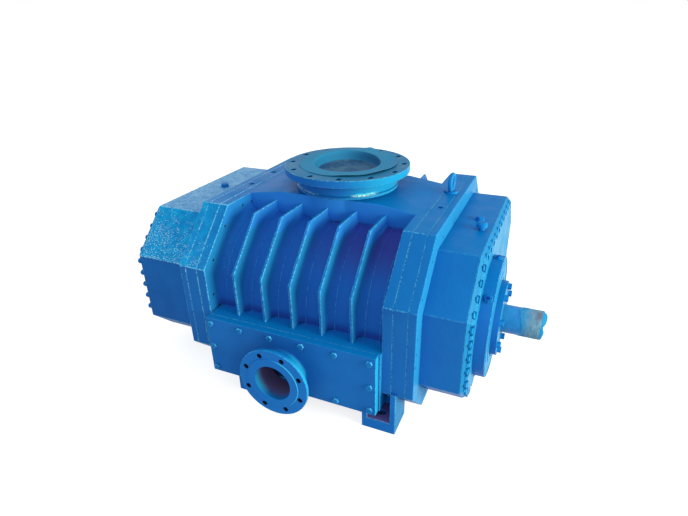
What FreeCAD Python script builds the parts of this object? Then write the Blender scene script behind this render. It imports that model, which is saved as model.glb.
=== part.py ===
import FreeCAD, Part
import Sketcher
import math
import os

# Roots vacuum pump with two horizontal lobed rotors, side by side.
# X runs along the rotor shafts towards the coupling end, -Y is the front with the
# near return port, +Z is up. The origin is the centre of the four anchor holes, on
# the floor. Shapes are drawn about the casing's centre and moved there by casing_x.

V = FreeCAD.Vector
os.makedirs("parts", exist_ok=True)
doc = FreeCAD.newDocument("RootsPump")

# An octagon whose slants lie at 45 degrees keeps its form under an inset when each
# corner moves by this share of the inset along its straight side.
CORNER = math.tan(math.radians(22.5))
HALF_TURN = 180
FULL_TURN = 360


class Size:
    """A length together with the sheet expression that gives it."""

    def __init__(self, value, text):
        self.value = float(value)
        self.text = text

    def joined(self, other, sign, value):
        return Size(value, f"({self.text} {sign} {words(other)})")

    def __add__(self, other):
        return self.joined(other, "+", self.value + number(other))

    def __sub__(self, other):
        return self.joined(other, "-", self.value - number(other))

    def __mul__(self, other):
        return self.joined(other, "*", self.value * number(other))

    def __truediv__(self, other):
        return self.joined(other, "/", self.value / number(other))

    def __neg__(self):
        return Size(-self.value, f"(0 - {self.text})")

    def __radd__(self, other):
        return Size(other, words(other)) + self

    def __rsub__(self, other):
        return Size(other, words(other)) - self

    def __rmul__(self, other):
        return self * other

    def __float__(self):
        return self.value


def number(item):
    return item.value if isinstance(item, Size) else float(item)


def words(item):
    return item.text if isinstance(item, Size) else f"({item:.9f})"


sheet = doc.addObject("Spreadsheet::Sheet", "Sizes")
rows = []


def size(alias, value, meaning):
    """Writes one driving dimension to the sheet and returns it."""
    rows.append(alias)
    line = len(rows)
    sheet.set(f"A{line}", meaning)
    sheet.set(f"B{line}", str(value))
    sheet.setAlias(f"B{line}", alias)
    return Size(value, f"Sizes.{alias}")


# Casing and the outline that its flanges share with the end plates
casing_x = size("casing_x", -68, "casing centre measured from the anchor centre")
casing_half = size("casing_half", 335, "casing centre to its end face")
flange_t = size("flange_t", 32, "casing end flange thickness")
plate_w = size("plate_w", 469, "half width of the flanges and end plates")
plate_kink = size("plate_kink", 447, "height where the flange side starts to slant in")
plate_top = size("plate_top", 612, "height of the flange top")
plate_low = size("plate_low", 146, "height where the flange's lower corner starts")
plate_bottom = size("plate_bottom", 32, "height of the flange bottom")
casing_wall = size("casing_wall", 22.4, "casing wall outside the rotor bores")
plenum_w = size("plenum_w", 167, "half width of the flat suction box on top")
base_w = size("base_w", 156, "half width of the flat discharge seat below")
pedestal_half = size("pedestal_half", 180, "half length of the suction box's raised roof")
pedestal_top = size("pedestal_top", 629, "height of the raised roof under the inlet")
boss_r = size("boss_r", 180, "radius of the round boss under the inlet neck")
rib_in = size("rib_in", 12, "how far the ribs stand back from the plate's sides")
rib_kink_drop = size("rib_kink_drop", 3, "how far a rib's kink lies below the plate's")
rib_drop = size("rib_drop", 15, "how far the ribs' flat top lies below the plate's")
rib_t = size("rib_t", 9, "rib thickness")
RIB_COUNT = 5

# Rotors: two lobes each, epicycloid tips and hypocycloid waists
axis_y = size("axis_y", 156, "half of the distance between the rotor axes")
axis_z = size("axis_z", 296, "height of the rotor axes")
rotor_gap = size("rotor_gap", 0.8, "gap between the two rotors")
tip_gap = size("tip_gap", 0.6, "gap between a rotor tip and its bore")
side_gap = size("side_gap", 0.6, "gap between a rotor end and its end plate")
core_r = size("core_r", 34, "radius of the cored hole in each lobe")
core_at = size("core_at", 150, "distance of a lobe's cored hole from the axis")
seat_gap = size("seat_gap", 0.05, "radial gap of fixed seats on shafts and in bores")

# Shafts
rotor_r = size("rotor_r", 57, "shaft radius inside the rotor")
seal_r = size("seal_r", 54, "shaft radius under the chamber seals")
journal_r = size("journal_r", 50, "shaft radius under the bearings")
gear_r = size("gear_r", 46, "shaft radius under gears and slingers")
drive_r = size("drive_r", 45, "radius of the driven shaft end")
drive_end = size("drive_end", 720, "casing centre to the tip of the drive shaft")
key_w = size("key_w", 25, "width of the coupling keyway")
key_depth = size("key_depth", 9, "depth of the keyway")
key_len = size("key_len", 90, "length of the keyway, open at the shaft's tip")

# End plates and their bearing housings
end_plate_t = size("end_plate_t", 44, "end plate thickness")
housing_r = size("housing_r", 125, "outer radius of a bearing housing")
housing_len = size("housing_len", 51, "length of a bearing housing beyond its plate")
bearing_r = size("bearing_r", 107.5, "outer radius of a bearing")
bearing_w = size("bearing_w", 47, "width of a bearing")
outer_ring_t = size("outer_ring_t", 15.5, "wall of a bearing's outer ring")
inner_ring_t = size("inner_ring_t", 17, "wall of a bearing's inner ring")
roller_gap = size("roller_gap", 0.3, "gap between a roller and each ring")
roller_len = size("roller_len", 28, "length of a bearing roller")
cage_t = size("cage_t", 5, "thickness of a bearing cage's ring")
seal_bore = size("seal_bore", 72, "radius of the chamber seal ring's recess")
seal_ring_w = size("seal_ring_w", 22, "width of a chamber seal ring")
seal_gap = size("seal_gap", 0.3, "gap between a seal ring and the shaft")
retainer_t = size("retainer_t", 12, "thickness of a bearing retainer")
retainer_r = size("retainer_r", 121, "outer radius of a bearing retainer")
retainer_bore = size("retainer_bore", 76, "bore radius of a bearing retainer")
ROLLER_COUNT = 12

# Timing gears
GEAR_TEETH = 39
PRESSURE_ANGLE = math.radians(20)
gear_w = size("gear_w", 60, "face width of a timing gear")
gear_hub = size("gear_hub", 66, "radius of a timing gear's hub")
gear_start = size("gear_start", 452, "casing centre to a timing gear's face")
tooth_gap = size("tooth_gap", 0.5, "backlash between the timing gears")
nut_r = size("nut_r", 64, "radius of a shaft nut")
nut_t = size("nut_t", 22, "thickness of a shaft nut")
slinger_r = size("slinger_r", 140, "radius of an oil slinger")
slinger_t = size("slinger_t", 8, "thickness of an oil slinger")
slinger_gap = size("slinger_gap", 4, "gap between an oil slinger and its bearing retainer")

# Gear cover at the far end and oil box at the coupling end, with one outline
box_flange_t = size("box_flange_t", 24, "flange thickness of both boxes")
box_w = size("box_w", 412, "half width of both boxes")
box_kink = size("box_kink", 415, "height where a box side starts to slant in")
box_top = size("box_top", 555, "height of the box roofs")
box_low = size("box_low", 165, "height where a box's lower corner starts")
box_bottom = size("box_bottom", 85, "height of the box floors")
box_wall = size("box_wall", 14, "wall of both boxes")
gear_box_len = size("gear_box_len", 234, "gear cover length beyond its flange")
oil_box_len = size("oil_box_len", 123, "oil box length beyond its flange")
cover_t = size("cover_t", 18, "thickness of the bevelled box covers")
cover_bevel = size("cover_bevel", 16, "width of the bevel round a box cover")
notch_r = size("notch_r", 12, "radius of a bolt's spot face in the bevel")
notch_floor = size("notch_floor", 10, "cover thickness left under a bolt head")
cover_bolt_in = size("cover_bolt_in", 15, "cover bolts measured in from the box outline")
cover_bolt_pitch = size("cover_bolt_pitch", 52, "rough pitch of the cover bolts")

# Shaft end cover and seal housing on the drive shaft
disc_r = size("disc_r", 196, "radius of the shaft end cover")
disc_t = size("disc_t", 36, "thickness of the shaft end cover")
spigot_r = size("spigot_r", 150, "radius of the shaft end cover's spigot")
disc_bore = size("disc_bore", 82, "bore radius of the shaft end cover")
seal_housing_r = size("seal_housing_r", 120, "radius of the seal housing")
seal_housing_t = size("seal_housing_t", 20, "thickness of the seal housing's flange")
seal_spigot = size("seal_spigot", 30, "length of the seal housing's spigot")
lip_seal_r = size("lip_seal_r", 70, "outer radius of a lip seal")
lip_seal_w = size("lip_seal_w", 12, "width of a lip seal")
sleeve_t = size("sleeve_t", 6, "wall of the seal sleeve on the drive shaft")
seal_lip_t = size("seal_lip_t", 5, "wall of the seal housing in front of the seals")
seal_lip_gap = size("seal_lip_gap", 3, "gap between that wall and the sleeve")
housing_pcd = size("housing_pcd", 206, "bolt circle of the seal housing")
HOUSING_BOLTS = 8
disc_pcd = size("disc_pcd", 340, "screw circle of the shaft end cover")
disc_sink = size("disc_sink", 10, "depth of the screw recesses in the shaft end cover")
disc_sink_r = size("disc_sink_r", 10, "radius of the screw recesses")
DISC_SCREWS = 8

# Inlet: 12 holes on the 6 bar pattern of a 300 mm pipe
inlet_r = size("inlet_r", 220, "radius of the inlet flange")
inlet_t = size("inlet_t", 24, "thickness of the inlet flange")
inlet_face = size("inlet_face", 705, "height of the inlet face")
inlet_bore = size("inlet_bore", 150, "bore radius of the inlet")
inlet_neck = size("inlet_neck", 174, "outer radius of the inlet neck")
inlet_pcd = size("inlet_pcd", 395, "inlet bolt circle")
inlet_hole = size("inlet_hole", 11, "radius of an inlet bolt hole")
INLET_HOLES = 12
suction_r = size("suction_r", 140, "radius of the suction opening in the casing")
neck_foot = size("neck_foot", 10, "height of the coned foot of the inlet neck")
strainer_r = size("strainer_r", 174, "rim radius of the inlet strainer")
strainer_in = size("strainer_in", 116, "inner radius of the strainer's dish")
strainer_deep = size("strainer_deep", 33, "depth of the strainer's dish")
strainer_t = size("strainer_t", 3, "sheet thickness of the strainer")

# Discharge: 12 tapped holes on the 6 bar pattern of a 250 mm pipe
outlet_r = size("outlet_r", 187.5, "radius of the discharge flange")
outlet_t = size("outlet_t", 25, "thickness of the discharge flange")
outlet_bore = size("outlet_bore", 125, "bore radius of the discharge")
outlet_step = size("outlet_step", 3, "how far the casing's opening stands back from that bore")
outlet_pcd = size("outlet_pcd", 335, "discharge bolt circle")
outlet_hole = size("outlet_hole", 7, "radius of a tapped discharge hole")
OUTLET_HOLES = 12

# Return ports for cooled gas, front and rear
port_half = size("port_half", 298, "half length of a port box")
port_low = size("port_low", 79, "height of a port box's bottom")
port_high = size("port_high", 292, "height of a port box's top")
port_stand = size("port_stand", 23, "how far the port boxes stand out beyond the ribs")
port_cover_t = size("port_cover_t", 24, "thickness of a port cover")
port_wall = size("port_wall", 26, "wall round a port box's chest")
slot_half = size("slot_half", 190, "half length of the gas slot into a rotor bore")
slot_low = size("slot_low", 150, "height of the gas slot's lower edge")
slot_high = size("slot_high", 190, "height of the gas slot's upper edge")
nozzle_x = size("nozzle_x", -16, "return nozzle measured from the casing centre")
nozzle_z = size("nozzle_z", 158, "height of the return nozzle's axis")
nozzle_reach = size("nozzle_reach", 68, "how far a return nozzle stands out from its cover")
nozzle_r = size("nozzle_r", 120, "radius of the return flange")
nozzle_t = size("nozzle_t", 14, "thickness of the return flange")
nozzle_raised = size("nozzle_raised", 89, "radius of the return flange's raised face")
nozzle_lip = size("nozzle_lip", 2, "height of the raised face")
nozzle_neck = size("nozzle_neck", 77, "outer radius of the return neck")
nozzle_bore = size("nozzle_bore", 62.5, "bore radius of the return nozzle")
nozzle_pcd = size("nozzle_pcd", 200, "bolt circle of the return flange")
nozzle_hole = size("nozzle_hole", 9, "radius of a return flange hole")
NOZZLE_HOLES = 8
port_head_across = size("port_head_across", 19, "width across the flats of a port cover's low bolt heads")
port_head_t = size("port_head_t", 7, "height of a port cover's bolt heads")
port_bolt_in = size("port_bolt_in", 19, "port cover bolts measured in from its edge")
PORT_BOLTS_LONG = 6
PORT_BOLTS_SHORT = 1

# Feet
foot_w = size("foot_w", 110, "length of a foot along the shafts")
foot_right = size("foot_right", 243, "casing centre to a coupling-end foot")
foot_left = size("foot_left", -217, "casing centre to a gear-end foot")
foot_deep = size("foot_deep", 102, "depth of a foot from front to back")
foot_floor = size("foot_floor", 40, "thickness of a foot's floor")
foot_wall = size("foot_wall", 18, "thickness of a foot's side walls")
anchor_in = size("anchor_in", 40, "anchor holes measured in from the front of a foot")
anchor_hole = size("anchor_hole", 13, "radius of an anchor hole")

# Small fittings
eye_x = size("eye_x", 357, "casing centre to the lifting eye holes")
eye_y = size("eye_y", 80, "lifting eye holes measured from the middle")
eye_hole = size("eye_hole", 10, "radius of a lifting eye hole")
eye_depth = size("eye_depth", 30, "depth of a lifting eye hole")
eye_ring = size("eye_ring", 27, "mean radius of the lifting eye's ring")
eye_wire = size("eye_wire", 8, "radius of the lifting eye's bar")
eye_collar = size("eye_collar", 24, "radius of the lifting eye's collar")
eye_screw_gap = size("eye_screw_gap", 2, "gap under the lifting eye's screw")
plug_across = size("plug_across", 24, "width across the flats of an oil plug")
plug_high = size("plug_high", 14, "height of an oil plug")
plug_boss_high = size("plug_boss_high", 6, "height of the round boss under an oil plug")
rim_plug_across = size("rim_plug_across", 16, "width across the flats of a plug in the disc's rim")
rim_plug_high = size("rim_plug_high", 8, "height of a plug in the disc's rim")
breather_stem = size("breather_stem", 10, "radius and height of the breather's stem")
breather_r = size("breather_r", 17, "radius of the breather's cap")
breather_high = size("breather_high", 11, "height of the breather's cap below its cone")
breather_cone = size("breather_cone", 5, "height of the breather's cone")
screw_head_t = size("screw_head_t", 3, "height of a bearing retainer's screw heads")
gear_plug_x = size("gear_plug_x", 543, "casing centre to the gear cover's filler plug")
oil_plug_x = size("oil_plug_x", 475, "casing centre to the oil box's filler plug")
roof_plug_gap = size("roof_plug_gap", 32, "breather measured in from the oil box cover")
glass_r = size("glass_r", 22, "radius of an oil sight glass")
glass_wall = size("glass_wall", 7, "wall of a sight glass's ring")
glass_high = size("glass_high", 10, "height of a sight glass's ring")
lens_t = size("lens_t", 6, "thickness of a sight glass's lens")
glass_z = size("glass_z", 150, "height of the oil sight glasses")
glass_y = size("glass_y", 250, "oil sight glasses measured from the middle")
bolt_m12 = size("bolt_m12", 18, "width across the flats of a cover bolt")
HEAD_SHARE = 0.65

doc.recompute()

# Stations along the shafts that several pieces share
plate_start = casing_half
flange_inside = casing_half - flange_t
plate_end = casing_half + end_plate_t
box_start = plate_end
box_shell = plate_end + box_flange_t
gear_cover_end = box_shell + gear_box_len
oil_cover_end = box_shell + oil_box_len
disc_start = oil_cover_end + cover_t
disc_end = disc_start + disc_t
seal_housing_end = disc_end + seal_housing_t
housing_end = plate_end + housing_len
bearing_start = housing_end - bearing_w
retainer_end = housing_end + retainer_t
gear_end = gear_start + gear_w
gear_nut_end = gear_end + nut_t
slinger_start = retainer_end + slinger_gap
slinger_end = slinger_start + slinger_t
drive_nut_end = slinger_end + nut_t
rotor_tip = axis_y * 1.5
bore_r = rotor_tip + tip_gap
shell_r = bore_r + casing_wall
rotor_half = casing_half - side_gap
rib_w = plate_w - rib_in
rib_kink = plate_kink - rib_kink_drop
rib_top = plate_top - rib_drop
port_seat = rib_w + port_stand
port_face = port_seat + port_cover_t
nozzle_face = port_face + nozzle_reach
foot_front = port_seat
foot_back = foot_front - foot_deep
anchor_y = foot_front - anchor_in
neck_start = inlet_face - inlet_t


def bind(item, prop, length):
    """Sets a property to a size and ties it to the sheet."""
    setattr(item, prop, number(length))
    if isinstance(length, Size):
        item.setExpression(prop, length.text)


def place(item, at=(0, 0, 0), turn=None):
    """Moves a finished object from the casing's centre to the part's frame."""
    item.Placement = FreeCAD.Placement(V(0, 0, 0), turn or FreeCAD.Rotation())
    spot = (casing_x + at[0], at[1], at[2])
    for letter, length in zip("xyz", spot):
        if isinstance(length, Size):
            item.setExpression(f"Placement.Base.{letter}", length.text)


def new_body(name, at=(0, 0, 0), turn=None):
    body = doc.addObject("PartDesign::Body", name)
    body.Label = name
    place(body, at, turn)
    return body


def sketch_on(body, role, offset=0):
    """A sketch on one of the body's own planes, moved along that plane's normal."""
    plane = [item for item in body.Origin.OriginFeatures if item.Role == role][0]
    drawing = body.newObject("Sketcher::SketchObject", "Sketch")
    drawing.AttachmentSupport = [(plane, "")]
    drawing.MapMode = "FlatFace"
    if isinstance(offset, Size):
        drawing.setExpression("AttachmentOffset.Base.z", offset.text)
    return drawing


def fix_point(drawing, line, end, u, v):
    for kind, length in (("DistanceX", u), ("DistanceY", v)):
        index = drawing.addConstraint(Sketcher.Constraint(kind, -1, 1, line, end, number(length)))
        if isinstance(length, Size):
            drawing.setExpression(f"Constraints[{index}]", length.text)


def polygon(drawing, points):
    """A closed outline whose corners are all tied to the sheet."""
    first = drawing.GeometryCount
    count = len(points)
    spots = [V(number(u), number(v), 0) for u, v in points]
    for step in range(count):
        drawing.addGeometry(Part.LineSegment(spots[step], spots[(step + 1) % count]))
    for step in range(count):
        following = first + (step + 1) % count
        drawing.addConstraint(Sketcher.Constraint("Coincident", first + step, 2, following, 1))
    for step, (u, v) in enumerate(points):
        fix_point(drawing, first + step, 1, u, v)


def circle(drawing, radius, u=0, v=0):
    index = drawing.GeometryCount
    drawing.addGeometry(Part.Circle(V(number(u), number(v), 0), V(0, 0, 1), number(radius)))
    fix_point(drawing, index, 3, u, v)
    row = drawing.addConstraint(Sketcher.Constraint("Radius", index, number(radius)))
    if isinstance(radius, Size):
        drawing.setExpression(f"Constraints[{row}]", radius.text)


def rectangle(drawing, u0, v0, u1, v1):
    polygon(drawing, [(u0, v0), (u1, v0), (u1, v1), (u0, v1)])


def octagon_points(half, kink, top, low, bottom, inset=0):
    """Corners of a housing outline: flat top, slants at 45 degrees, upright sides."""
    side = half - inset
    roof = top - inset
    floor = bottom + inset
    upper = kink - inset * CORNER
    lower = low + inset * CORNER
    roof_y = side - (roof - upper)
    floor_y = side - (lower - floor)
    right = [(floor_y, floor), (side, lower), (side, upper), (roof_y, roof)]
    return right + [(-y, z) for y, z in reversed(right)]


def plate_outline():
    return octagon_points(plate_w, plate_kink, plate_top, plate_low, plate_bottom)


def box_outline(inset=0):
    return octagon_points(box_w, box_kink, box_top, box_low, box_bottom, inset)


def pad(body, drawing, length, backwards=False, taper=0):
    feature = body.newObject("PartDesign::Pad", "Pad")
    feature.Profile = drawing
    bind(feature, "Length", length)
    feature.Reversed = backwards
    feature.TaperAngle = taper
    drawing.Visibility = False
    return feature


def pocket(body, drawing, length, along=False):
    """A cut against the sketch's normal, or along it."""
    feature = body.newObject("PartDesign::Pocket", "Pocket")
    feature.Profile = drawing
    bind(feature, "Length", length)
    feature.Reversed = along
    drawing.Visibility = False
    return feature


def revolve(body, drawing, axis="H_Axis"):
    feature = body.newObject("PartDesign::Revolution", "Revolution")
    feature.Profile = drawing
    feature.ReferenceAxis = (drawing, [axis])
    feature.Angle = FULL_TURN
    return feature


def round_pattern(body, feature, drawing, count):
    """Repeats a feature about the normal through its sketch's origin."""
    pattern = body.newObject("PartDesign::PolarPattern", "Pattern")
    pattern.Originals = [feature]
    pattern.Axis = (drawing, ["N_Axis"])
    pattern.Angle = FULL_TURN
    pattern.Occurrences = count
    body.Tip = pattern
    return pattern


def slab(body, outline, start, length, side=1, taper=0):
    """Pads an outline of points outwards from a station on either side."""
    drawing = sketch_on(body, "YZ_Plane", start * side)
    polygon(drawing, outline)
    return pad(body, drawing, length, backwards=side < 0, taper=taper)


def round_slab(body, radius, y, z, start, length, side=1):
    drawing = sketch_on(body, "YZ_Plane", start * side)
    circle(drawing, radius, y, z)
    return pad(body, drawing, length, backwards=side < 0)


def cut_slab(body, outline, start, length, side=1):
    drawing = sketch_on(body, "YZ_Plane", start * side)
    polygon(drawing, outline)
    return pocket(body, drawing, length, along=side > 0)


def cut_round(body, radius, y, z, start, length, side=1):
    drawing = sketch_on(body, "YZ_Plane", start * side)
    circle(drawing, radius, y, z)
    return pocket(body, drawing, length, along=side > 0)


def turned(name, outline, at=(0, 0, 0), turn=None, plane="XY_Plane"):
    """A piece turned about its own X axis from a half outline of (x, radius) points."""
    body = new_body(name, at, turn)
    drawing = sketch_on(body, plane)
    polygon(drawing, outline)
    revolve(body, drawing)
    return body


def sleeve_outline(start, end, inner, outer):
    return [(start, inner), (end, inner), (end, outer), (start, outer)]


def on_sides(side, outline):
    """Mirrors a half outline of (x, radius) points to the other end of the pump."""
    return [(x * side, r) for x, r in outline]


def shape_node(name, shape, at=(0, 0, 0)):
    """A piece or group whose shape is made directly, then moved into place."""
    item = doc.addObject("Part::Feature", name)
    item.Label = name
    item.Shape = shape
    place(item, at)
    return item


def group_node(name, members):
    """Identical pieces that share one node, each still a separate solid."""
    item = doc.addObject("Part::Compound", name)
    item.Label = name
    item.Links = members
    return item


kept = []


# Casing: end flanges, two joined rotor bores, ribs, suction box and port boxes
def make_casing():
    body = new_body("casing")
    inner_len = casing_half * 2
    between = flange_inside * 2
    slab(body, plate_outline(), flange_inside, flange_t, side=1)
    port_box = [(-port_seat, port_low), (port_seat, port_low), (port_seat, port_high), (-port_seat, port_high)]
    slab(body, port_box, -port_half, port_half + flange_inside)
    for side in (-1, 1):
        chest_y = port_seat * side
        far_y = axis_y * side
        chest = [
            (chest_y, port_low + port_wall),
            (far_y, port_low + port_wall),
            (far_y, port_high - port_wall),
            (chest_y, port_high - port_wall),
        ]
        cut_slab(body, chest, -(port_half - port_wall), (port_half - port_wall) * 2)
    for side in (-1, 1):
        round_slab(body, shell_r, axis_y * side, axis_z, -flange_inside, between)
    top_box = [(-plenum_w, axis_z), (plenum_w, axis_z), (plenum_w, plate_top), (-plenum_w, plate_top)]
    slab(body, top_box, -flange_inside, between)
    seat_low = axis_z - shell_r
    low_box = [(-base_w, seat_low), (base_w, seat_low), (base_w, axis_z), (-base_w, axis_z)]
    slab(body, low_box, -flange_inside, between)
    slab(body, plate_outline(), flange_inside, flange_t, side=-1)
    add_ribs(body)
    add_pedestal(body)
    for side in (-1, 1):
        cut_round(body, bore_r, axis_y * side, axis_z, -casing_half, inner_len)
    cut_gas_ways(body)
    return body


def add_ribs(body):
    """Ribs run over both rotor bores, so one outline gives the front and rear ribs."""
    pitch = flange_inside * 2 / (RIB_COUNT + 1)
    first = pitch - flange_inside - rib_t / 2
    crown = rib_w - (rib_top - rib_kink)
    right = [(rib_w, port_high), (rib_w, rib_kink), (crown, rib_top)]
    outline = right + [(-y, z) for y, z in reversed(right)]
    rib = slab(body, outline, first, rib_t)
    pattern = body.newObject("PartDesign::LinearPattern", "Ribs")
    pattern.Originals = [rib]
    pattern.Direction = (rib.Profile[0], ["N_Axis"])
    bind(pattern, "Length", pitch * (RIB_COUNT - 1))
    pattern.Occurrences = RIB_COUNT
    body.Tip = pattern


def add_pedestal(body):
    """The suction box's roof rises from both flanges to a flat, with a round boss."""
    roof = sketch_on(body, "XZ_Plane", plenum_w)
    rise = pedestal_half
    polygon(roof, [
        (-flange_inside, rib_top),
        (flange_inside, rib_top),
        (flange_inside, plate_top),
        (rise, pedestal_top),
        (-rise, pedestal_top),
        (-flange_inside, plate_top),
    ])
    pad(body, roof, plenum_w * 2, backwards=True)
    boss = sketch_on(body, "XY_Plane", axis_z + shell_r)
    circle(boss, boss_r)
    pad(body, boss, pedestal_top - axis_z - shell_r)


def cut_gas_ways(body):
    """Suction from above, discharge below and a slot from each port box."""
    top = sketch_on(body, "XY_Plane", pedestal_top)
    circle(top, suction_r)
    pocket(body, top, pedestal_top - axis_z - axis_y)
    bottom = sketch_on(body, "XY_Plane", axis_z - shell_r)
    circle(bottom, outlet_bore + outlet_step)
    pocket(body, bottom, shell_r - axis_y, along=True)
    for side in (-1, 1):
        slot = [
            (port_seat * side, slot_low),
            (axis_y * side * 2, slot_low),
            (axis_y * side * 2, slot_high),
            (port_seat * side, slot_high),
        ]
        cut_slab(body, slot, -slot_half, slot_half * 2)


kept.append(make_casing())


# Welded inlet neck with its flange, and the strainer that hangs in it
def make_inlet():
    body = new_body("inlet_nozzle")
    drawing = sketch_on(body, "XZ_Plane")
    polygon(drawing, [
        (inlet_bore, pedestal_top),
        (boss_r, pedestal_top),
        (inlet_neck, pedestal_top + neck_foot),
        (inlet_neck, neck_start),
        (inlet_r, neck_start),
        (inlet_r, inlet_face),
        (inlet_bore, inlet_face),
    ])
    revolve(body, drawing, "V_Axis")
    holes = sketch_on(body, "XY_Plane", inlet_face)
    half_step = math.pi / INLET_HOLES
    circle(holes, inlet_hole, inlet_pcd / 2 * math.cos(half_step), inlet_pcd / 2 * math.sin(half_step))
    first = pocket(body, holes, inlet_t)
    round_pattern(body, first, holes, INLET_HOLES)
    return body


def make_strainer():
    body = new_body("inlet_strainer")
    drawing = sketch_on(body, "XZ_Plane")
    floor = inlet_face - strainer_deep
    polygon(drawing, [
        (0, floor - strainer_t),
        (strainer_in + strainer_t, floor - strainer_t),
        (strainer_in + strainer_t, inlet_face),
        (strainer_r, inlet_face),
        (strainer_r, inlet_face + strainer_t),
        (strainer_in, inlet_face + strainer_t),
        (strainer_in, floor),
        (0, floor),
    ])
    revolve(body, drawing, "V_Axis")
    return body


kept.append(make_inlet())
kept.append(make_strainer())


# Discharge flange against the casing's flat seat
def make_outlet():
    seat = axis_z - shell_r
    body = new_body("discharge_flange")
    drawing = sketch_on(body, "XY_Plane", seat - outlet_t)
    circle(drawing, outlet_r)
    circle(drawing, outlet_bore)
    pad(body, drawing, outlet_t)
    holes = sketch_on(body, "XY_Plane", seat - outlet_t)
    half_step = math.pi / OUTLET_HOLES
    circle(holes, outlet_hole, outlet_pcd / 2 * math.cos(half_step), outlet_pcd / 2 * math.sin(half_step))
    first = pocket(body, holes, outlet_t, along=True)
    round_pattern(body, first, holes, OUTLET_HOLES)
    return body


kept.append(make_outlet())


# Feet: an open pocket over the anchor hole, the coupling-end pair under the flange slant
def make_foot(name, start, raised):
    body = new_body(name)
    slant = plate_low - plate_w
    low_top = port_low
    high = slab(body, [
        (-foot_front, 0),
        (-foot_back, 0),
        (-foot_back, foot_back + slant if raised else low_top),
        (-foot_front, foot_front + slant if raised else low_top),
    ], start, foot_w)
    high.Label = name + "_block"
    if raised:
        over = [
            (-foot_front, low_top),
            (-foot_back, low_top),
            (-foot_back, plate_low * 2),
            (-foot_front, plate_low * 2),
        ]
        cut_slab(body, over, start, flange_inside - start)
    inside = [
        (-foot_front, foot_floor),
        (-(foot_back + foot_wall), foot_floor),
        (-(foot_back + foot_wall), plate_low * 2),
        (-foot_front, plate_low * 2),
    ]
    cut_slab(body, inside, start + foot_wall, foot_w - foot_wall * 2)
    hole = sketch_on(body, "XY_Plane")
    circle(hole, anchor_hole, start + foot_w / 2, -anchor_y)
    pocket(body, hole, foot_floor, along=True)
    return body


def make_feet():
    members = []
    for name, start, raised in (("foot_drive", foot_right, True), ("foot_gear", foot_left, False)):
        front = make_foot(name, start, raised)
        rear = doc.addObject("Part::Mirroring", name + "_rear")
        rear.Source = front
        rear.Normal = V(0, 1, 0)
        members += [front, rear]
    return group_node("mounting_feet", members)


kept.append(make_feet())


# End plates with bearing housings that stand into the boxes
def make_end_plate(name, side):
    body = new_body(name)
    slab(body, plate_outline(), plate_start, end_plate_t, side)
    for way in (-1, 1):
        round_slab(body, housing_r, axis_y * way, axis_z, plate_end, housing_len, side)
    for way in (-1, 1):
        cut_round(body, seal_bore, axis_y * way, axis_z, plate_start, end_plate_t, side)
        cut_round(body, bearing_r + seat_gap, axis_y * way, axis_z, bearing_start, bearing_w, side)
        cut_round(body, seal_bore, axis_y * way, axis_z, plate_end, housing_len - bearing_w, side)
    holes = sketch_on(body, "XY_Plane", plate_top)
    for way in (-1, 1):
        circle(holes, eye_hole, eye_x * side, eye_y * way)
    pocket(body, holes, eye_depth)
    return body


kept.append(make_end_plate("gear_end_plate", -1))
kept.append(make_end_plate("drive_end_plate", 1))


# Gear cover and oil box: octagonal shells with a flange like the end plates
def make_box(name, length, side):
    body = new_body(name)
    slab(body, plate_outline(), box_start, box_flange_t, side)
    slab(body, box_outline(), box_shell, length, side)
    cut_slab(body, box_outline(box_wall), box_start, box_flange_t + length, side)
    return body


kept.append(make_box("gear_cover", gear_box_len, -1))
kept.append(make_box("oil_box", oil_box_len, 1))


def edge_points(outline, inset_outline, pitch):
    """Even bolt places along each straight side, with the side's outward direction."""
    spots = []
    count = len(outline)
    for step in range(count):
        y0, z0 = (number(item) for item in inset_outline[step])
        y1, z1 = (number(item) for item in inset_outline[(step + 1) % count])
        run = math.hypot(y1 - y0, z1 - z0)
        amount = max(1, round(run / number(pitch)))
        outward = ((z1 - z0) / run, -(y1 - y0) / run)
        for place_no in range(amount):
            share = (place_no + 0.5) / amount
            spots.append((y0 + (y1 - y0) * share, z0 + (z1 - z0) * share, outward))
    return spots


def cover_bolt_spots(clear_of_disc):
    """Bolt places round a box cover, without those that the shaft end cover hides."""
    spots = []
    for y, z, outward in edge_points(box_outline(), box_outline(cover_bolt_in), cover_bolt_pitch):
        reach = math.hypot(y + number(axis_y), z - number(axis_z))
        if not clear_of_disc or reach > number(disc_r) + number(notch_r):
            spots.append((y, z))
    return spots


def make_cover(name, start, side, hole_r=None):
    """A bevelled end cover with a round spot face at each bolt."""
    bevel = math.degrees(math.atan2(number(cover_bevel), number(cover_t)))
    base = doc.addObject("PartDesign::Body", name + "_plate")
    slab(base, box_outline(), start, cover_t, side, taper=-bevel)
    if hole_r is not None:
        cut_round(base, hole_r, -axis_y, axis_z, start, cover_t, side)
    doc.recompute()
    floor = number(start + notch_floor) * side
    tools = []
    for y, z in cover_bolt_spots(hole_r is not None):
        tools.append(Part.makeCylinder(number(notch_r), number(cover_t), V(floor, y, z), V(side, 0, 0)))
    cutter = doc.addObject("Part::Feature", name + "_notches")
    cutter.Shape = Part.makeCompound(tools)
    cover = doc.addObject("Part::Cut", name)
    cover.Label = name
    cover.Base = base
    cover.Tool = cutter
    place(cover)
    return cover


kept.append(make_cover("gear_box_end_cover", gear_cover_end, -1))
kept.append(make_cover("oil_box_end_cover", oil_cover_end, 1, spigot_r + seat_gap))


# Shaft end cover, seal housing and its seals, all turned about the drive shaft
drive_axis = (0, -axis_y, axis_z)
driven_axis = (0, axis_y, axis_z)
sleeve_r = gear_r + sleeve_t
seal_stack = seal_housing_end - seal_lip_t



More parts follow.
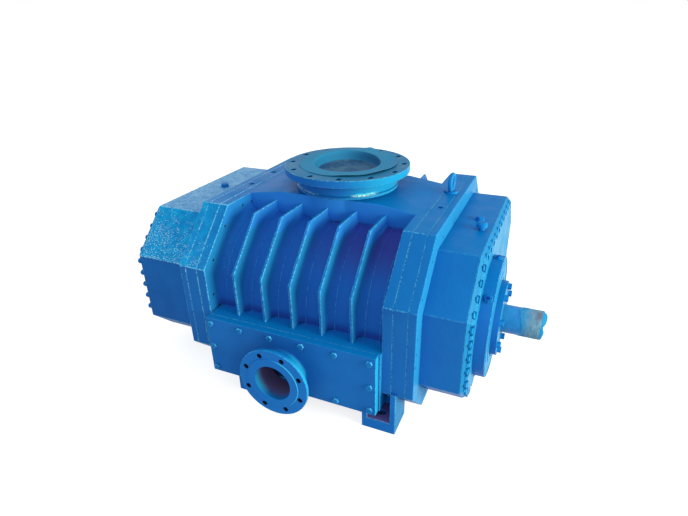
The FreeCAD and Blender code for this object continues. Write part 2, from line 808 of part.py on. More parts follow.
def make_shaft_end_cover():
    body = turned("shaft_end_cover", [
        (oil_cover_end, disc_bore),
        (disc_end, disc_bore),
        (disc_end, disc_r),
        (disc_start, disc_r),
        (disc_start, spigot_r),
        (oil_cover_end, spigot_r),
    ], drive_axis)
    sinks = sketch_on(body, "YZ_Plane", disc_end)
    half_step = math.pi / DISC_SCREWS
    circle(sinks, disc_sink_r, disc_pcd / 2 * math.cos(half_step), disc_pcd / 2 * math.sin(half_step))
    first = pocket(body, sinks, disc_sink)
    round_pattern(body, first, sinks, DISC_SCREWS)
    return body


kept.append(make_shaft_end_cover())

kept.append(turned("seal_housing", [
    (disc_end - seal_spigot, lip_seal_r + seat_gap),
    (seal_stack, lip_seal_r + seat_gap),
    (seal_stack, sleeve_r + seal_lip_gap),
    (seal_housing_end, sleeve_r + seal_lip_gap),
    (seal_housing_end, seal_housing_r),
    (disc_end, seal_housing_r),
    (disc_end, disc_bore - seat_gap),
    (disc_end - seal_spigot, disc_bore - seat_gap),
], drive_axis))

seal_members = []
for order in (1, 2):
    start = seal_stack - lip_seal_w * order
    seal_members.append(turned(
        f"lip_seal_{order}",
        sleeve_outline(start, start + lip_seal_w, sleeve_r + seat_gap, lip_seal_r),
        drive_axis,
    ))
kept.append(group_node("lip_seals", seal_members))

kept.append(turned(
    "seal_sleeve",
    sleeve_outline(disc_end - seal_spigot, seal_housing_end, gear_r + seat_gap, sleeve_r),
    drive_axis,
))


# Shafts, turned from the gear end towards the coupling end
def shaft_outline(steps):
    """A stepped half outline from (end station, radius) steps."""
    start = -gear_nut_end
    points = [(start, 0)]
    for end, radius in steps:
        points += [(start, radius), (end, radius)]
        start = end
    points.append((start, 0))
    return points


common_steps = [
    (-housing_end, gear_r),
    (-bearing_start, journal_r),
    (-rotor_half, seal_r),
    (rotor_half, rotor_r),
    (bearing_start, seal_r),
    (housing_end, journal_r),
]


KEYWAY_TURN = -117


def make_drive_shaft():
    """The keyway is cut in the top, then the shaft is turned to its resting angle."""
    steps = common_steps + [(seal_housing_end, gear_r), (drive_end, drive_r)]
    turn = FreeCAD.Rotation(V(1, 0, 0), KEYWAY_TURN)
    body = turned("drive_shaft", shaft_outline(steps), drive_axis, turn, "XZ_Plane")
    way = sketch_on(body, "XY_Plane", drive_r)
    rectangle(way, drive_end - key_len, -key_w / 2, drive_end, key_w / 2)
    pocket(body, way, key_depth)
    return body


kept.append(make_drive_shaft())
kept.append(turned(
    "driven_shaft",
    shaft_outline(common_steps + [(drive_nut_end, gear_r)]),
    driven_axis,
))


# Rotors: cycloidal lobes that roll on each other, with cored holes in the lobes
def unit(angle):
    return V(0, math.cos(angle), math.sin(angle))


ARC_STEPS = 12


def cycloid(start, lobe):
    """A quarter of the profile: a lobe's epicycloid or a waist's hypocycloid, in arcs.

    Each point is set in along the line to the rolling circle's contact point, so the
    two rotors keep an even gap while they turn.
    """
    pitch_r = number(axis_y)
    roll_r = pitch_r / 4
    inset = number(rotor_gap) / 2
    points = []
    for step in range(ARC_STEPS + 1):
        angle = math.pi / 2 * step / ARC_STEPS
        rolled = 4 * angle
        if lobe:
            spot = unit(start + angle) * (pitch_r + roll_r) - unit(start + angle + rolled) * roll_r
            inward = unit(start + angle + rolled / 2 + math.pi / 2)
        else:
            spot = unit(start + angle) * (pitch_r - roll_r) + unit(start + angle - rolled) * roll_r
            inward = unit(start + angle - rolled / 2 + math.pi / 2) * -1
        points.append(spot + inward * inset)
    return [Part.Arc(*points[step:step + 3]).toShape() for step in range(0, ARC_STEPS, 2)]


def make_rotor(name, lobe_angle, at):
    start = math.radians(lobe_angle) - math.pi / 4
    edges = []
    for quarter in range(4):
        edges += cycloid(start + math.pi / 2 * quarter, quarter % 2 == 0)
    face = Part.Face(Part.Wire(edges))
    solid = face.extrude(V(2 * number(rotor_half), 0, 0))
    solid.translate(V(-number(rotor_half), 0, 0))
    holes = [(0, 0, number(rotor_r + seat_gap))]
    for turn in (0, HALF_TURN):
        spot = unit(math.radians(lobe_angle + turn)) * number(core_at)
        holes.append((spot.y, spot.z, number(core_r)))
    for y, z, radius in holes:
        drill = Part.makeCylinder(radius, 2 * number(casing_half), V(-number(casing_half), y, z), V(1, 0, 0))
        solid = solid.cut(drill)
    return shape_node(name, solid, at)


kept.append(make_rotor("drive_rotor", 90, drive_axis))
kept.append(make_rotor("driven_rotor", 0, driven_axis))


# Timing gears: involute teeth, one gear turned by half a tooth so that they mesh
def involute_point(base_r, radius, turn):
    roll = math.sqrt(max(0.0, (radius / base_r) ** 2 - 1))
    return unit(turn + roll - math.atan(roll)) * radius


def make_gear(name, first_tooth, at):
    pitch_r = number(axis_y)
    module = 2 * pitch_r / GEAR_TEETH
    tip_r = pitch_r + module
    root_r = pitch_r - 1.25 * module
    base_r = pitch_r * math.cos(PRESSURE_ANGLE)
    flank_r = [base_r, (base_r + pitch_r) / 2, pitch_r, (pitch_r + tip_r) / 2, tip_r]
    opening = math.tan(PRESSURE_ANGLE) - PRESSURE_ANGLE
    half_tooth = math.pi / (2 * GEAR_TEETH) - number(tooth_gap) / (4 * pitch_r)
    points = []
    for tooth in range(GEAR_TEETH):
        middle = first_tooth + 2 * math.pi * tooth / GEAR_TEETH
        rising = [involute_point(base_r, radius, middle - half_tooth - opening) for radius in flank_r]
        falling = [mirrored_about(point, middle) for point in reversed(rising)]
        foot = half_tooth + opening
        points.append(unit(middle - foot) * root_r)
        points += rising + falling
        points.append(unit(middle + foot) * root_r)
    points.append(points[0])
    rim = Part.Face(Part.makePolygon(points)).extrude(V(-number(gear_w), 0, 0))
    rim.translate(V(-number(gear_start), 0, 0))
    hub_len = number(gear_start) - number(housing_end)
    hub = Part.makeCylinder(number(gear_hub), hub_len, V(-number(gear_start), 0, 0), V(1, 0, 0))
    bore = Part.makeCylinder(
        number(gear_r + seat_gap), number(gear_end), V(-number(gear_end), 0, 0), V(1, 0, 0)
    )
    return shape_node(name, rim.fuse(hub).cut(bore), at)


def mirrored_about(point, angle):
    own = math.atan2(point.z, point.y)
    return unit(2 * angle - own) * point.Length


# The drive gear has a tooth towards its partner, which has a gap there
kept.append(make_gear("drive_timing_gear", 0, drive_axis))
kept.append(make_gear("driven_timing_gear", math.pi + math.pi / GEAR_TEETH, driven_axis))


# Nuts, slingers and bearings, named after the shaft that they sit on
def make_shaft_fittings(shaft, at):
    nuts = []
    for side, start, end in ((-1, gear_end, gear_nut_end), (1, slinger_end, drive_nut_end)):
        nuts.append(turned(
            f"{shaft}_nut_{'gear' if side < 0 else 'drive'}",
            on_sides(side, sleeve_outline(start, end, gear_r + seat_gap, nut_r)),
            at,
        ))
    kept.append(group_node(f"{shaft}_shaft_nuts", nuts))
    kept.append(turned(f"{shaft}_oil_slinger", [
        (housing_end, gear_r + seat_gap),
        (slinger_end, gear_r + seat_gap),
        (slinger_end, slinger_r),
        (slinger_start, slinger_r),
        (slinger_start, gear_hub),
        (housing_end, gear_hub),
    ], at))


inner_race = journal_r + inner_ring_t
outer_race = bearing_r - outer_ring_t
roller_at = (inner_race + outer_race) / 2
roller_r = (outer_race - inner_race) / 2 - roller_gap
bearing_mid = housing_end - bearing_w / 2


def make_inner_rings(shaft, at):
    rings = []
    for side in (-1, 1):
        outline = sleeve_outline(bearing_start, housing_end, journal_r + seat_gap, inner_race)
        rings.append(turned(f"{shaft}_inner_ring_{'gear' if side < 0 else 'drive'}", on_sides(side, outline), at))
    kept.append(group_node(f"{shaft}_bearing_inner_rings", rings))


def make_rollers(shaft, at):
    length = number(roller_len)
    solids = []
    for side in (-1, 1):
        for step in range(ROLLER_COUNT):
            spot = unit(2 * math.pi * step / ROLLER_COUNT) * number(roller_at)
            start = V(number(bearing_mid) * side - length / 2, spot.y, spot.z)
            solids.append(Part.makeCylinder(number(roller_r), length, start, V(1, 0, 0)))
    kept.append(shape_node(f"{shaft}_bearing_rollers", Part.makeCompound(solids), at))


def make_cages(shaft, at):
    """A ring on each side of the rollers holds them at their pitch."""
    rings = []
    for side in (-1, 1):
        for edge in (-1, 1):
            inner = roller_at - roller_r / 2
            outer = roller_at + roller_r / 2
            near = bearing_mid + roller_len / 2 * edge
            far = near + cage_t * edge
            outline = on_sides(side, sleeve_outline(near, far, inner, outer))
            end = "gear" if side < 0 else "drive"
            rings.append(turned(f"{shaft}_cage_{end}_{'in' if edge < 0 else 'out'}", outline, at))
    kept.append(group_node(f"{shaft}_bearing_cages", rings))


for shaft, at in (("drive", drive_axis), ("driven", driven_axis)):
    make_shaft_fittings(shaft, at)
    make_inner_rings(shaft, at)
    make_rollers(shaft, at)
    make_cages(shaft, at)


# Stator rings at each of the four bearings
def at_each_bearing(name, outline):
    members = []
    for way, at in (("front", drive_axis), ("rear", driven_axis)):
        for side in (-1, 1):
            label = f"{name}_{way}_{'gear' if side < 0 else 'drive'}"
            members.append(turned(label, on_sides(side, outline), at))
    kept.append(group_node(name, members))


at_each_bearing("bearing_outer_rings", sleeve_outline(bearing_start, housing_end, outer_race, bearing_r))
at_each_bearing("bearing_retainers", sleeve_outline(housing_end, retainer_end, retainer_bore, retainer_r))
at_each_bearing(
    "chamber_seal_rings",
    sleeve_outline(plate_start, plate_start + seal_ring_w, seal_r + seal_gap, seal_bore - seat_gap),
)


# Port covers: one casting with its return nozzle, used front and rear
def make_port_cover(name, rear):
    if rear:
        turn = FreeCAD.Rotation(V(0, 0, 1), HALF_TURN)
        body = new_body(name, (-nozzle_x, 0, nozzle_z), turn)
    else:
        body = new_body(name, (nozzle_x, 0, nozzle_z))
    low, high = port_low - nozzle_z, port_high - nozzle_z
    plate = sketch_on(body, "XZ_Plane", port_seat)
    rectangle(plate, -port_half - nozzle_x, low, port_half - nozzle_x, high)
    pad(body, plate, port_cover_t)
    drawing = sketch_on(body, "XY_Plane")
    flange_back = nozzle_face - nozzle_t
    polygon(drawing, [
        (0, -port_seat),
        (nozzle_neck, -port_seat),
        (nozzle_neck, -flange_back),
        (nozzle_r, -flange_back),
        (nozzle_r, -(nozzle_face - nozzle_lip)),
        (nozzle_raised, -(nozzle_face - nozzle_lip)),
        (nozzle_raised, -nozzle_face),
        (0, -nozzle_face),
    ])
    revolve(body, drawing, "V_Axis")
    bore = sketch_on(body, "XZ_Plane", nozzle_face)
    circle(bore, nozzle_bore)
    pocket(body, bore, nozzle_face - port_seat)
    holes = sketch_on(body, "XZ_Plane", nozzle_face)
    half_step = math.pi / NOZZLE_HOLES
    circle(holes, nozzle_hole, nozzle_pcd / 2 * math.cos(half_step), nozzle_pcd / 2 * math.sin(half_step))
    first = pocket(body, holes, nozzle_t)
    round_pattern(body, first, holes, NOZZLE_HOLES)
    return body


kept.append(make_port_cover("front_port_cover", rear=False))
kept.append(make_port_cover("rear_port_cover", rear=True))


# Fasteners: plain hexagon heads with a washer face, drawn with the head towards +X
def hexagon(across, length):
    corner = across / math.sqrt(3)
    points = [unit(math.pi / 3 * step) * corner for step in range(7)]
    return Part.Face(Part.makePolygon(points)).extrude(V(length, 0, 0))


def hex_bolt(across):
    """A bolt head on its washer; the shank is inside the pieces that it clamps."""
    return hexagon(across, across * HEAD_SHARE)


def aimed(shape, spot, direction):
    """Turns a piece drawn along +X to another direction and moves it to its seat."""
    copy = shape.copy()
    turn = FreeCAD.Rotation(V(1, 0, 0), direction)
    copy.Placement = FreeCAD.Placement(spot, turn).multiply(copy.Placement)
    return copy


def bolts_on(name, shape, seats):
    solids = [aimed(shape, spot, direction) for spot, direction in seats]
    kept.append(shape_node(name, Part.makeCompound(solids)))


def cover_seats(start, side):
    x = number(start + notch_floor) * side
    return [(V(x, y, z), V(side, 0, 0)) for y, z in cover_bolt_spots(side > 0)]


m12_head = hex_bolt(number(bolt_m12))
bolts_on("gear_cover_bolts", m12_head, cover_seats(gear_cover_end, -1))
bolts_on("oil_box_bolts", m12_head, cover_seats(oil_cover_end, 1))


def ring_seats(x, pcd, count, first=0.5):
    seats = []
    for step in range(count):
        spot = unit(2 * math.pi * (step + first) / count) * (number(pcd) / 2)
        seats.append((V(number(x), spot.y - number(axis_y), spot.z + number(axis_z)), V(1, 0, 0)))
    return seats


bolts_on("seal_housing_bolts", m12_head, ring_seats(seal_housing_end, housing_pcd, HOUSING_BOLTS))


def socket_screw():
    """A cap screw head that ends flush with the face round its recess."""
    deep = number(disc_sink)
    head = Part.makeCylinder(number(disc_sink_r) - 1, deep, V(0, 0, 0), V(1, 0, 0))
    socket = hexagon(number(disc_sink_r) * 0.9, deep)
    socket.translate(V(deep / 2, 0, 0))
    return head.cut(socket)


bolts_on("shaft_cover_screws", socket_screw(), ring_seats(disc_end - disc_sink, disc_pcd, DISC_SCREWS))


def port_seats():
    """Six bolts along the top and bottom of a port cover and one more up each side."""
    reach = number(port_half - port_bolt_in)
    low, high = number(port_low + port_bolt_in), number(port_high - port_bolt_in)
    face = number(port_face)
    spots = []
    for step in range(PORT_BOLTS_LONG):
        x = -reach + 2 * reach * step / (PORT_BOLTS_LONG - 1)
        spots += [(x, low), (x, high)]
    for step in range(PORT_BOLTS_SHORT):
        z = low + (high - low) * (step + 1) / (PORT_BOLTS_SHORT + 1)
        spots += [(-reach, z), (reach, z)]
    clear = number(nozzle_neck + port_head_across)
    seats = []
    for side in (-1, 1):
        for x, z in spots:
            nozzle = -number(nozzle_x) * side
            if math.hypot(x - nozzle, z - number(nozzle_z)) > clear:
                seats.append((V(x, face * side, z), V(0, side, 0)))
    return seats


bolts_on("port_cover_bolts", hexagon(number(port_head_across), number(port_head_t)), port_seats())


def retainer_seats():
    """Six small screws on each bearing retainer, facing away from the casing."""
    seats = []
    at = (number(retainer_r) + number(retainer_bore)) / 2
    for side in (-1, 1):
        for way in (-1, 1):
            for step in range(6):
                spot = unit(2 * math.pi * (step + 0.5) / 6) * at
                x = number(retainer_end) * side
                y = spot.y + number(axis_y) * way
                seats.append((V(x, y, spot.z + number(axis_z)), V(side, 0, 0)))
    return seats


bolts_on("retainer_screws", hexagon(number(bolt_m12), number(screw_head_t)), retainer_seats())


# Lifting eye on the drive end plate
def make_eye():
    """A ring of octagonal bar on a collar, with its screw in the plate."""
    top = number(plate_top)
    ring_r, wire = number(eye_ring), number(eye_wire)
    depth = number(eye_depth - eye_screw_gap)
    middle = V(0, 0, top + wire + ring_r)
    collar = Part.makeCylinder(number(eye_collar), wire, V(0, 0, top))
    screw = Part.makeCylinder(number(eye_hole - seat_gap), depth, V(0, 0, top - depth))
    corners = [math.pi / 4 * (step + 0.5) for step in range(9)]
    section = [middle + V(math.sin(turn) * wire, ring_r + math.cos(turn) * wire, 0) for turn in corners]
    ring = Part.Face(Part.makePolygon(section)).revolve(middle, V(1, 0, 0), FULL_TURN)
    return shape_node("lifting_eye", collar.fuse([screw, ring]), (eye_x, eye_y, 0))


kept.append(make_eye())


# Oil plugs, breather and sight glasses
def make_plugs():
    """Roof filler plugs, drain plugs in the box ends and two on the shaft end cover."""
    plug = hexagon(number(plug_across), number(plug_high))
    boss_round = number(plug_across) * 0.62
    boss = Part.makeCylinder(boss_round, number(plug_boss_high), V(0, 0, 0), V(1, 0, 0))
    raised = boss.fuse(plug)
    roof = [(V(x, 0, number(box_top)), V(0, 0, 1)) for x in (-number(gear_plug_x), number(oil_plug_x))]
    drain_z = number(box_bottom) + 2 * number(plug_across)
    drain = [
        (V((number(gear_cover_end) + number(cover_t)) * -1, 0, drain_z), V(-1, 0, 0)),
        (V(number(oil_cover_end) + number(cover_t), number(axis_y), drain_z), V(1, 0, 0)),
    ]
    bolts_on("oil_filler_plugs", raised, roof)
    bolts_on("oil_drain_plugs", raised, drain)


make_plugs()


def make_breather():
    """A small vent with a coned cap, near the oil box's end."""
    base = number(breather_stem)
    wide = number(breather_r)
    high = number(breather_high)
    cone = number(breather_cone)
    stem = Part.makeCylinder(base, base)
    cap = Part.makeCylinder(wide, high, V(0, 0, base))
    top = Part.makeCone(wide, wide - cone, cone, V(0, 0, base + high))
    at = (oil_cover_end - roof_plug_gap, -eye_y, box_top)
    return shape_node("oil_box_breather", stem.fuse([cap, top]), at)


kept.append(make_breather())


def make_disc_plugs():
    """Two grease plugs set radially into the rim of the shaft end cover."""
    x = (number(disc_start) + number(disc_end)) / 2
    plug = hexagon(number(rim_plug_across), number(rim_plug_high))
    seats = []
    for angle in (83, 135):
        outward = unit(math.radians(angle))
        spot = outward * number(disc_r)
        seats.append((V(x, spot.y - number(axis_y), spot.z + number(axis_z)), outward))
    bolts_on("shaft_cover_plugs", plug, seats)


make_disc_plugs()


def make_glasses():
    """A ring and a lens on each box end cover, at the oil level."""
    inner = number(glass_r - glass_wall)
    ring = Part.makeCylinder(number(glass_r), number(glass_high), V(0, 0, 0), V(1, 0, 0))
    hole = Part.makeCylinder(inner, number(glass_high), V(0, 0, 0), V(1, 0, 0))
    lens = Part.makeCylinder(inner - number(seat_gap), number(lens_t), V(0, 0, 0), V(1, 0, 0))
    seats = [
        (V((number(gear_cover_end) + number(cover_t)) * -1, -number(glass_y), number(glass_z)), V(-1, 0, 0)),
        (V(number(oil_cover_end) + number(cover_t), number(glass_y), number(glass_z)), V(1, 0, 0)),
    ]
    bolts_on("sight_glass_rings", ring.cut(hole), seats)
    bolts_on("sight_glass_lenses", lens, seats)


make_glasses()

# Check every object, then write one file for each finished piece
doc.recompute()
faults = [item.Name for item in doc.Objects if "Invalid" in item.State or "Error" in item.State]
if faults:
    raise SystemExit(f"these objects failed: {faults}")
for item in kept:
    if item.Shape.isNull() or not item.Shape.isValid():
        raise SystemExit(f"{item.Label} has no valid shape")
for item in kept:
    item.Shape.exportStep(f"parts/{item.Label}.step")
    print(item.Label, len(item.Shape.Solids), round(item.Shape.Volume))
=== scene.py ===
"""Looks of the roots vacuum pump: cast housings in sprayed blue paint round a steel shaft."""

import math

import bmesh
import bpy
from mathutils import Matrix, Vector, noise as turbulence


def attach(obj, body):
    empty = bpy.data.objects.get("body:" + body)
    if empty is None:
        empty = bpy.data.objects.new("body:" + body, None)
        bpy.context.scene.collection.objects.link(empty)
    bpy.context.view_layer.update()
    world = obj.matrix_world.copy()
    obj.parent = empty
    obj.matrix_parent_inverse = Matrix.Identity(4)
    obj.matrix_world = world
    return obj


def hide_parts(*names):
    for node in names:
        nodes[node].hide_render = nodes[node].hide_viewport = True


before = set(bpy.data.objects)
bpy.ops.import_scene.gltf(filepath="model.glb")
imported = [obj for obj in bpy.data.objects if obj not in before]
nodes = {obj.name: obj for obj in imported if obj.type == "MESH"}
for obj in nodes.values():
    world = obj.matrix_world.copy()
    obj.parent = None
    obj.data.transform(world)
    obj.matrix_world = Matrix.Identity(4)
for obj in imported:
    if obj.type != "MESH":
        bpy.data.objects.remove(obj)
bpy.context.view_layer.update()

# Without a seed of its own the noise starts from the clock, and no two runs are alike.
turbulence.seed_set(7)

MM = 0.001

# The pump's own sizes. X runs along the shafts, -Y is the front, Z is up. NOZZLE_X,
# FLANGE_INSIDE, BOX_SHELL, DISC_FACE and POCKET_MIDDLES count from the casing's middle, CASING_X.
CASING_X = -68 * MM
AXIS_Y = 156 * MM
AXIS_Z = 296 * MM
SHELL_R = 257 * MM
FLANGE_INSIDE = 303 * MM
BOX_SHELL = 403 * MM
RIBS = 5
RIB_T = 9 * MM
RIB_PITCH = 101 * MM
FILLET_R = 22 * MM
PORT_TOP = 284 * MM
PEDESTAL_TOP = 629 * MM
INLET_TOP = 705 * MM
INLET_NECK_R = 174 * MM
INLET_HOLES_TOP = 703 * MM
INLET_HOLES_R = 197.5 * MM
NOZZLE_X = 16 * MM
NOZZLE_Z = 158 * MM
NOZZLE_BORE_R = 63 * MM
NOZZLE_NECK_R = 76.5 * MM
NOZZLE_RAISED_R = 88.5 * MM
NOZZLE_FLANGE_R = 120 * MM
NOZZLE_HOLES_FACE = 569 * MM
NOZZLE_HOLES_R = 100 * MM
SHAFT_R = 45 * MM
DISC_FACE = 580 * MM
RIM_PLUG_X = 494 * MM
RIM_PLUG_TOP = 204 * MM
RIM_PLUG_TURNS = (math.radians(83), math.radians(135))
OIL_BOLT_SEAT = 468 * MM
GEAR_BOLT_SEAT = -715 * MM
SPOT_FACE_R = 16.8 * MM
SLANT_LOW = 425 * MM
POCKET_MIDDLES = (298 * MM, -162 * MM)
POCKET_HALF = 37 * MM
FLOOR_Z = -0.4 * MM


# Materials ---------------------------------------------------------------


class Shade:
    """A material's node tree with short ways to add and join its nodes."""

    def __init__(self, name):
        self.material = bpy.data.materials.new(name)
        self.material.use_nodes = True
        self.tree = self.material.node_tree
        self.shader = self.tree.nodes["Principled BSDF"]
        coordinates = self.node("ShaderNodeTexCoord")
        self.place = coordinates.outputs["Object"]
        self.normal = coordinates.outputs["Normal"]

    def node(self, kind, **settings):
        made = self.tree.nodes.new(kind)
        for key, value in settings.items():
            setattr(made, key, value)
        return made

    def join(self, start, end):
        self.tree.links.new(start, end)

    def feed(self, socket, value):
        if isinstance(value, bpy.types.NodeSocket):
            self.join(value, socket)
        else:
            socket.default_value = value

    def stretched(self, scale):
        mapping = self.node("ShaderNodeMapping")
        self.join(self.place, mapping.inputs["Vector"])
        mapping.inputs["Scale"].default_value = scale
        return mapping.outputs["Vector"]

    def noise(self, scale, detail=2.0, rough=0.5, where=None):
        made = self.node("ShaderNodeTexNoise")
        self.join(where or self.place, made.inputs["Vector"])
        made.inputs["Scale"].default_value = scale
        made.inputs["Detail"].default_value = detail
        made.inputs["Roughness"].default_value = rough
        return made.outputs["Fac"]

    def dots(self, scale, stretch):
        cells = self.node("ShaderNodeTexVoronoi")
        self.join(self.stretched(stretch), cells.inputs["Vector"])
        cells.inputs["Scale"].default_value = scale
        return self.ramp(cells.outputs["Distance"], 0.34, 0.24)

    def ramp(self, value, low, high, bottom=0.0, top=1.0):
        made = self.node("ShaderNodeMapRange", clamp=True, interpolation_type="SMOOTHSTEP")
        self.join(value, made.inputs["Value"])
        made.inputs["From Min"].default_value = low
        made.inputs["From Max"].default_value = high
        made.inputs["To Min"].default_value = bottom
        made.inputs["To Max"].default_value = top
        return made.outputs["Result"]

    def maths(self, operation, first, second=0.0):
        made = self.node("ShaderNodeMath", operation=operation)
        self.feed(made.inputs[0], first)
        self.feed(made.inputs[1], second)
        return made.outputs["Value"]

    def product(self, first, *others):
        for other in others:
            first = self.maths("MULTIPLY", first, other)
        return first

    def total(self, first, *others):
        for other in others:
            first = self.maths("ADD", first, other)
        return first

    def past(self, value, start):
        return self.maths("SUBTRACT", value, start)

    def size(self, value):
        return self.maths("ABSOLUTE", value)

    def near(self, value, middle, none, full):
        """One close to a middle value, falling to nothing between two distances from it."""
        return self.ramp(self.size(self.past(value, middle)), none, full)

    def all_but(self, share):
        return self.maths("SUBTRACT", 1.0, share)

    def radius(self, first, second):
        squares = self.total(self.product(first, first), self.product(second, second))
        return self.maths("POWER", squares, 0.5)

    def blend(self, share, first, second):
        made = self.node("ShaderNodeMix", data_type="RGBA", clamp_factor=True)
        self.feed(made.inputs["Factor"], share)
        self.feed(made.inputs[6], first)
        self.feed(made.inputs[7], second)
        return made.outputs[2]

    def part_of(self, vector, letter):
        made = self.node("ShaderNodeSeparateXYZ")
        self.join(vector, made.inputs["Vector"])
        return made.outputs[letter]

    def axis(self, letter):
        return self.part_of(self.place, letter)

    def facing(self, letter):
        return self.part_of(self.normal, letter)

    def marked(self, name):
        return self.node("ShaderNodeAttribute", attribute_name=name).outputs["Fac"]

    def bump(self, height, strength, distance):
        made = self.node("ShaderNodeBump")
        made.inputs["Strength"].default_value = strength
        made.inputs["Distance"].default_value = distance
        self.join(height, made.inputs["Height"])
        self.join(made.outputs["Normal"], self.shader.inputs["Normal"])

    def set(self, **values):
        for key, value in values.items():
            self.feed(self.shader.inputs[key.replace("_", " ")], value)


class Paint(Shade):
    """Sprayed paint that is laid on coat by coat, each where its share says."""

    def __init__(self, name, first_coat):
        super().__init__(name)
        self.colour = first_coat
        self.dulled_edges = []
        self.along = self.axis("X")
        self.aside = self.size(self.axis("Y"))
        self.height = self.axis("Z")
        self.right = self.facing("X")
        self.back = self.facing("Y")
        self.up = self.facing("Z")
        self.from_casing = self.past(self.along, CASING_X)

    def coat(self, share, colour):
        self.colour = self.blend(share, self.colour, colour)


def rgb(red, green, blue):
    """A colour as it shows on screen, for a shader."""
    def linear(share):
        share /= 255
        return share / 12.92 if share <= 0.04045 else ((share + 0.055) / 1.055) ** 2.4
    return (linear(red), linear(green), linear(blue), 1.0)


DEEP_BLUE = rgb(26, 96, 178)
FRESH_BLUE = rgb(30, 110, 194)
NOZZLE_SUNNY = rgb(24, 142, 198)


def sunlit(paint, sunny):
    """Faces turned to the light at the right take its warmer blue."""
    turned = paint.total(
        paint.product(paint.right, 0.86), paint.product(paint.back, -0.36),
        paint.product(paint.up, 0.3))
    paint.coat(paint.ramp(turned, 0.55, 0.95, 0.0, 0.85), sunny)


def face_sky_reflection(paint):
    """Painted reflection: a greyish sky reflection, in patches, on the inlet flange's upward face.
    """
    roof = paint.ramp(paint.up, 0.9, 1.0)
    top = paint.ramp(paint.height, 690 * MM, 700 * MM)
    patches = paint.ramp(paint.noise(16.0, 5.0, 0.65), 0.25, 0.6, 0.55, 1.0)
    paint.coat(paint.product(roof, top, patches), rgb(38, 108, 150))


def round_shells(paint):
    """Painted shade on the shells between the ribs, which turn violet upwards; painted light on the
    wall above them; and a painted glint, a line at each fillet's end.
    """
    reach = paint.radius(paint.past(paint.aside, AXIS_Y), paint.past(paint.height, AXIS_Z))
    low = paint.ramp(reach, SHELL_R + 3 * MM, SHELL_R + 34 * MM, 1.0, 0.0)
    inside = paint.ramp(
        paint.size(paint.from_casing), FLANGE_INSIDE - MM, FLANGE_INSIDE + MM, 1.0, 0.0)
    above_box = paint.ramp(paint.height, PORT_TOP + MM, PORT_TOP + 11 * MM)
    shell = paint.product(low, inside, above_box, paint.ramp(paint.height, 578 * MM, 560 * MM))
    # Painted shade: a deeper blue on the shells between the ribs.
    paint.coat(paint.product(shell, 0.68), rgb(34, 102, 196))
    # Painted shade: the shells turn violet higher up and towards the right.
    high = paint.ramp(paint.height, 420 * MM, 540 * MM)
    to_right = paint.ramp(paint.along, -200 * MM, 150 * MM, 0.1, 0.8)
    paint.coat(paint.product(shell, high, to_right), rgb(52, 44, 134))
    # Painted shade: dark violet at the shells' foot, just above the port box.
    foot = paint.product(
        low, inside, paint.ramp(paint.height, 328 * MM, 300 * MM), paint.ramp(paint.up, 0.5, 0.2))
    paint.coat(paint.product(foot, 0.6), rgb(38, 46, 142))
    # Painted light: a lighter blue on the upright wall under the pedestal top.
    upper_wall = paint.product(
        inside, paint.ramp(paint.height, 545 * MM, 565 * MM),
        paint.ramp(paint.height, PEDESTAL_TOP + 5 * MM, PEDESTAL_TOP - MM),
        paint.ramp(paint.up, 0.8, 0.5))
    paint.coat(paint.product(upper_wall, 0.8), rgb(44, 130, 222))
    # Painted highlight: a dashed light line where each fillet ends on the shell.
    from_flange = paint.past(paint.along, CASING_X - FLANGE_INSIDE)
    from_rib = paint.maths("PINGPONG", from_flange, RIB_PITCH / 2)
    line = paint.near(from_rib, RIB_T / 2 + FILLET_R, 1.1 * MM, 0.4 * MM)
    dashes = paint.product(
        paint.ramp(paint.noise(90.0, 2.0), 0.4, 0.6, 0.05, 0.75),
        paint.ramp(paint.height, 540 * MM, 440 * MM, 0.3, 1.0))
    paint.coat(paint.product(line, shell, dashes), rgb(80, 168, 222))
    port_box_edge(paint)
    wall_top = paint.ramp(paint.height, 600 * MM, 610 * MM)
    paint.dulled_edges.append(paint.product(inside, wall_top))


def port_box_edge(paint):
    """The long top edge of the port box and of its cover shines less than the others."""
    beside_top = paint.near(paint.height, PORT_TOP, 16 * MM, 8 * MM)
    out_front = paint.ramp(paint.aside, 468 * MM, 476 * MM)
    paint.dulled_edges.append(paint.product(beside_top, out_front, 0.7))


def nozzle_mouth(paint):
    """A paler nozzle flange, a painted glint on its raised face, and painted shade turning the bore
    violet further in.
    """
    offset = paint.product(paint.maths("SIGN", paint.axis("Y")), NOZZLE_X)
    beside = paint.past(paint.from_casing, offset)
    over = paint.past(paint.height, NOZZLE_Z)
    from_axis = paint.radius(beside, over)
    face = paint.ramp(paint.aside, 566 * MM, 568.5 * MM)
    flange = paint.product(
        face, paint.ramp(from_axis, NOZZLE_FLANGE_R + MM, NOZZLE_FLANGE_R - MM))
    paint.coat(paint.product(flange, 0.7), rgb(34, 126, 218))
    # Painted highlight: a glint on the raised face's edge at the upper right.
    ring = paint.near(from_axis, NOZZLE_RAISED_R, 1.6 * MM, 0.8 * MM)
    upper_right = paint.product(
        paint.ramp(beside, -10 * MM, 50 * MM), paint.ramp(over, -85 * MM, -40 * MM))
    paint.coat(paint.product(flange, ring, upper_right), rgb(70, 190, 236))
    # Painted shade: the bore turns violet further in.
    bore = paint.ramp(from_axis, NOZZLE_BORE_R + 0.6 * MM, NOZZLE_BORE_R)
    deep_in = paint.ramp(paint.aside, 568 * MM, 525 * MM)
    paint.coat(paint.product(bore, deep_in), rgb(104, 92, 140))
    port_box_edge(paint)


def shaded_bolt_seats(paint):
    """Painted shade: darker spot faces under the end covers' bolts, fainter higher up."""
    seats = [paint.near(paint.along, seat, 1.2 * MM, 0.7 * MM)
             for seat in (OIL_BOLT_SEAT, GEAR_BOLT_SEAT)]
    lower_down = paint.ramp(paint.height, 460 * MM, 360 * MM, 0.35, 1.0)
    paint.coat(paint.product(paint.maths("MAXIMUM", *seats), lower_down), rgb(12, 80, 156))


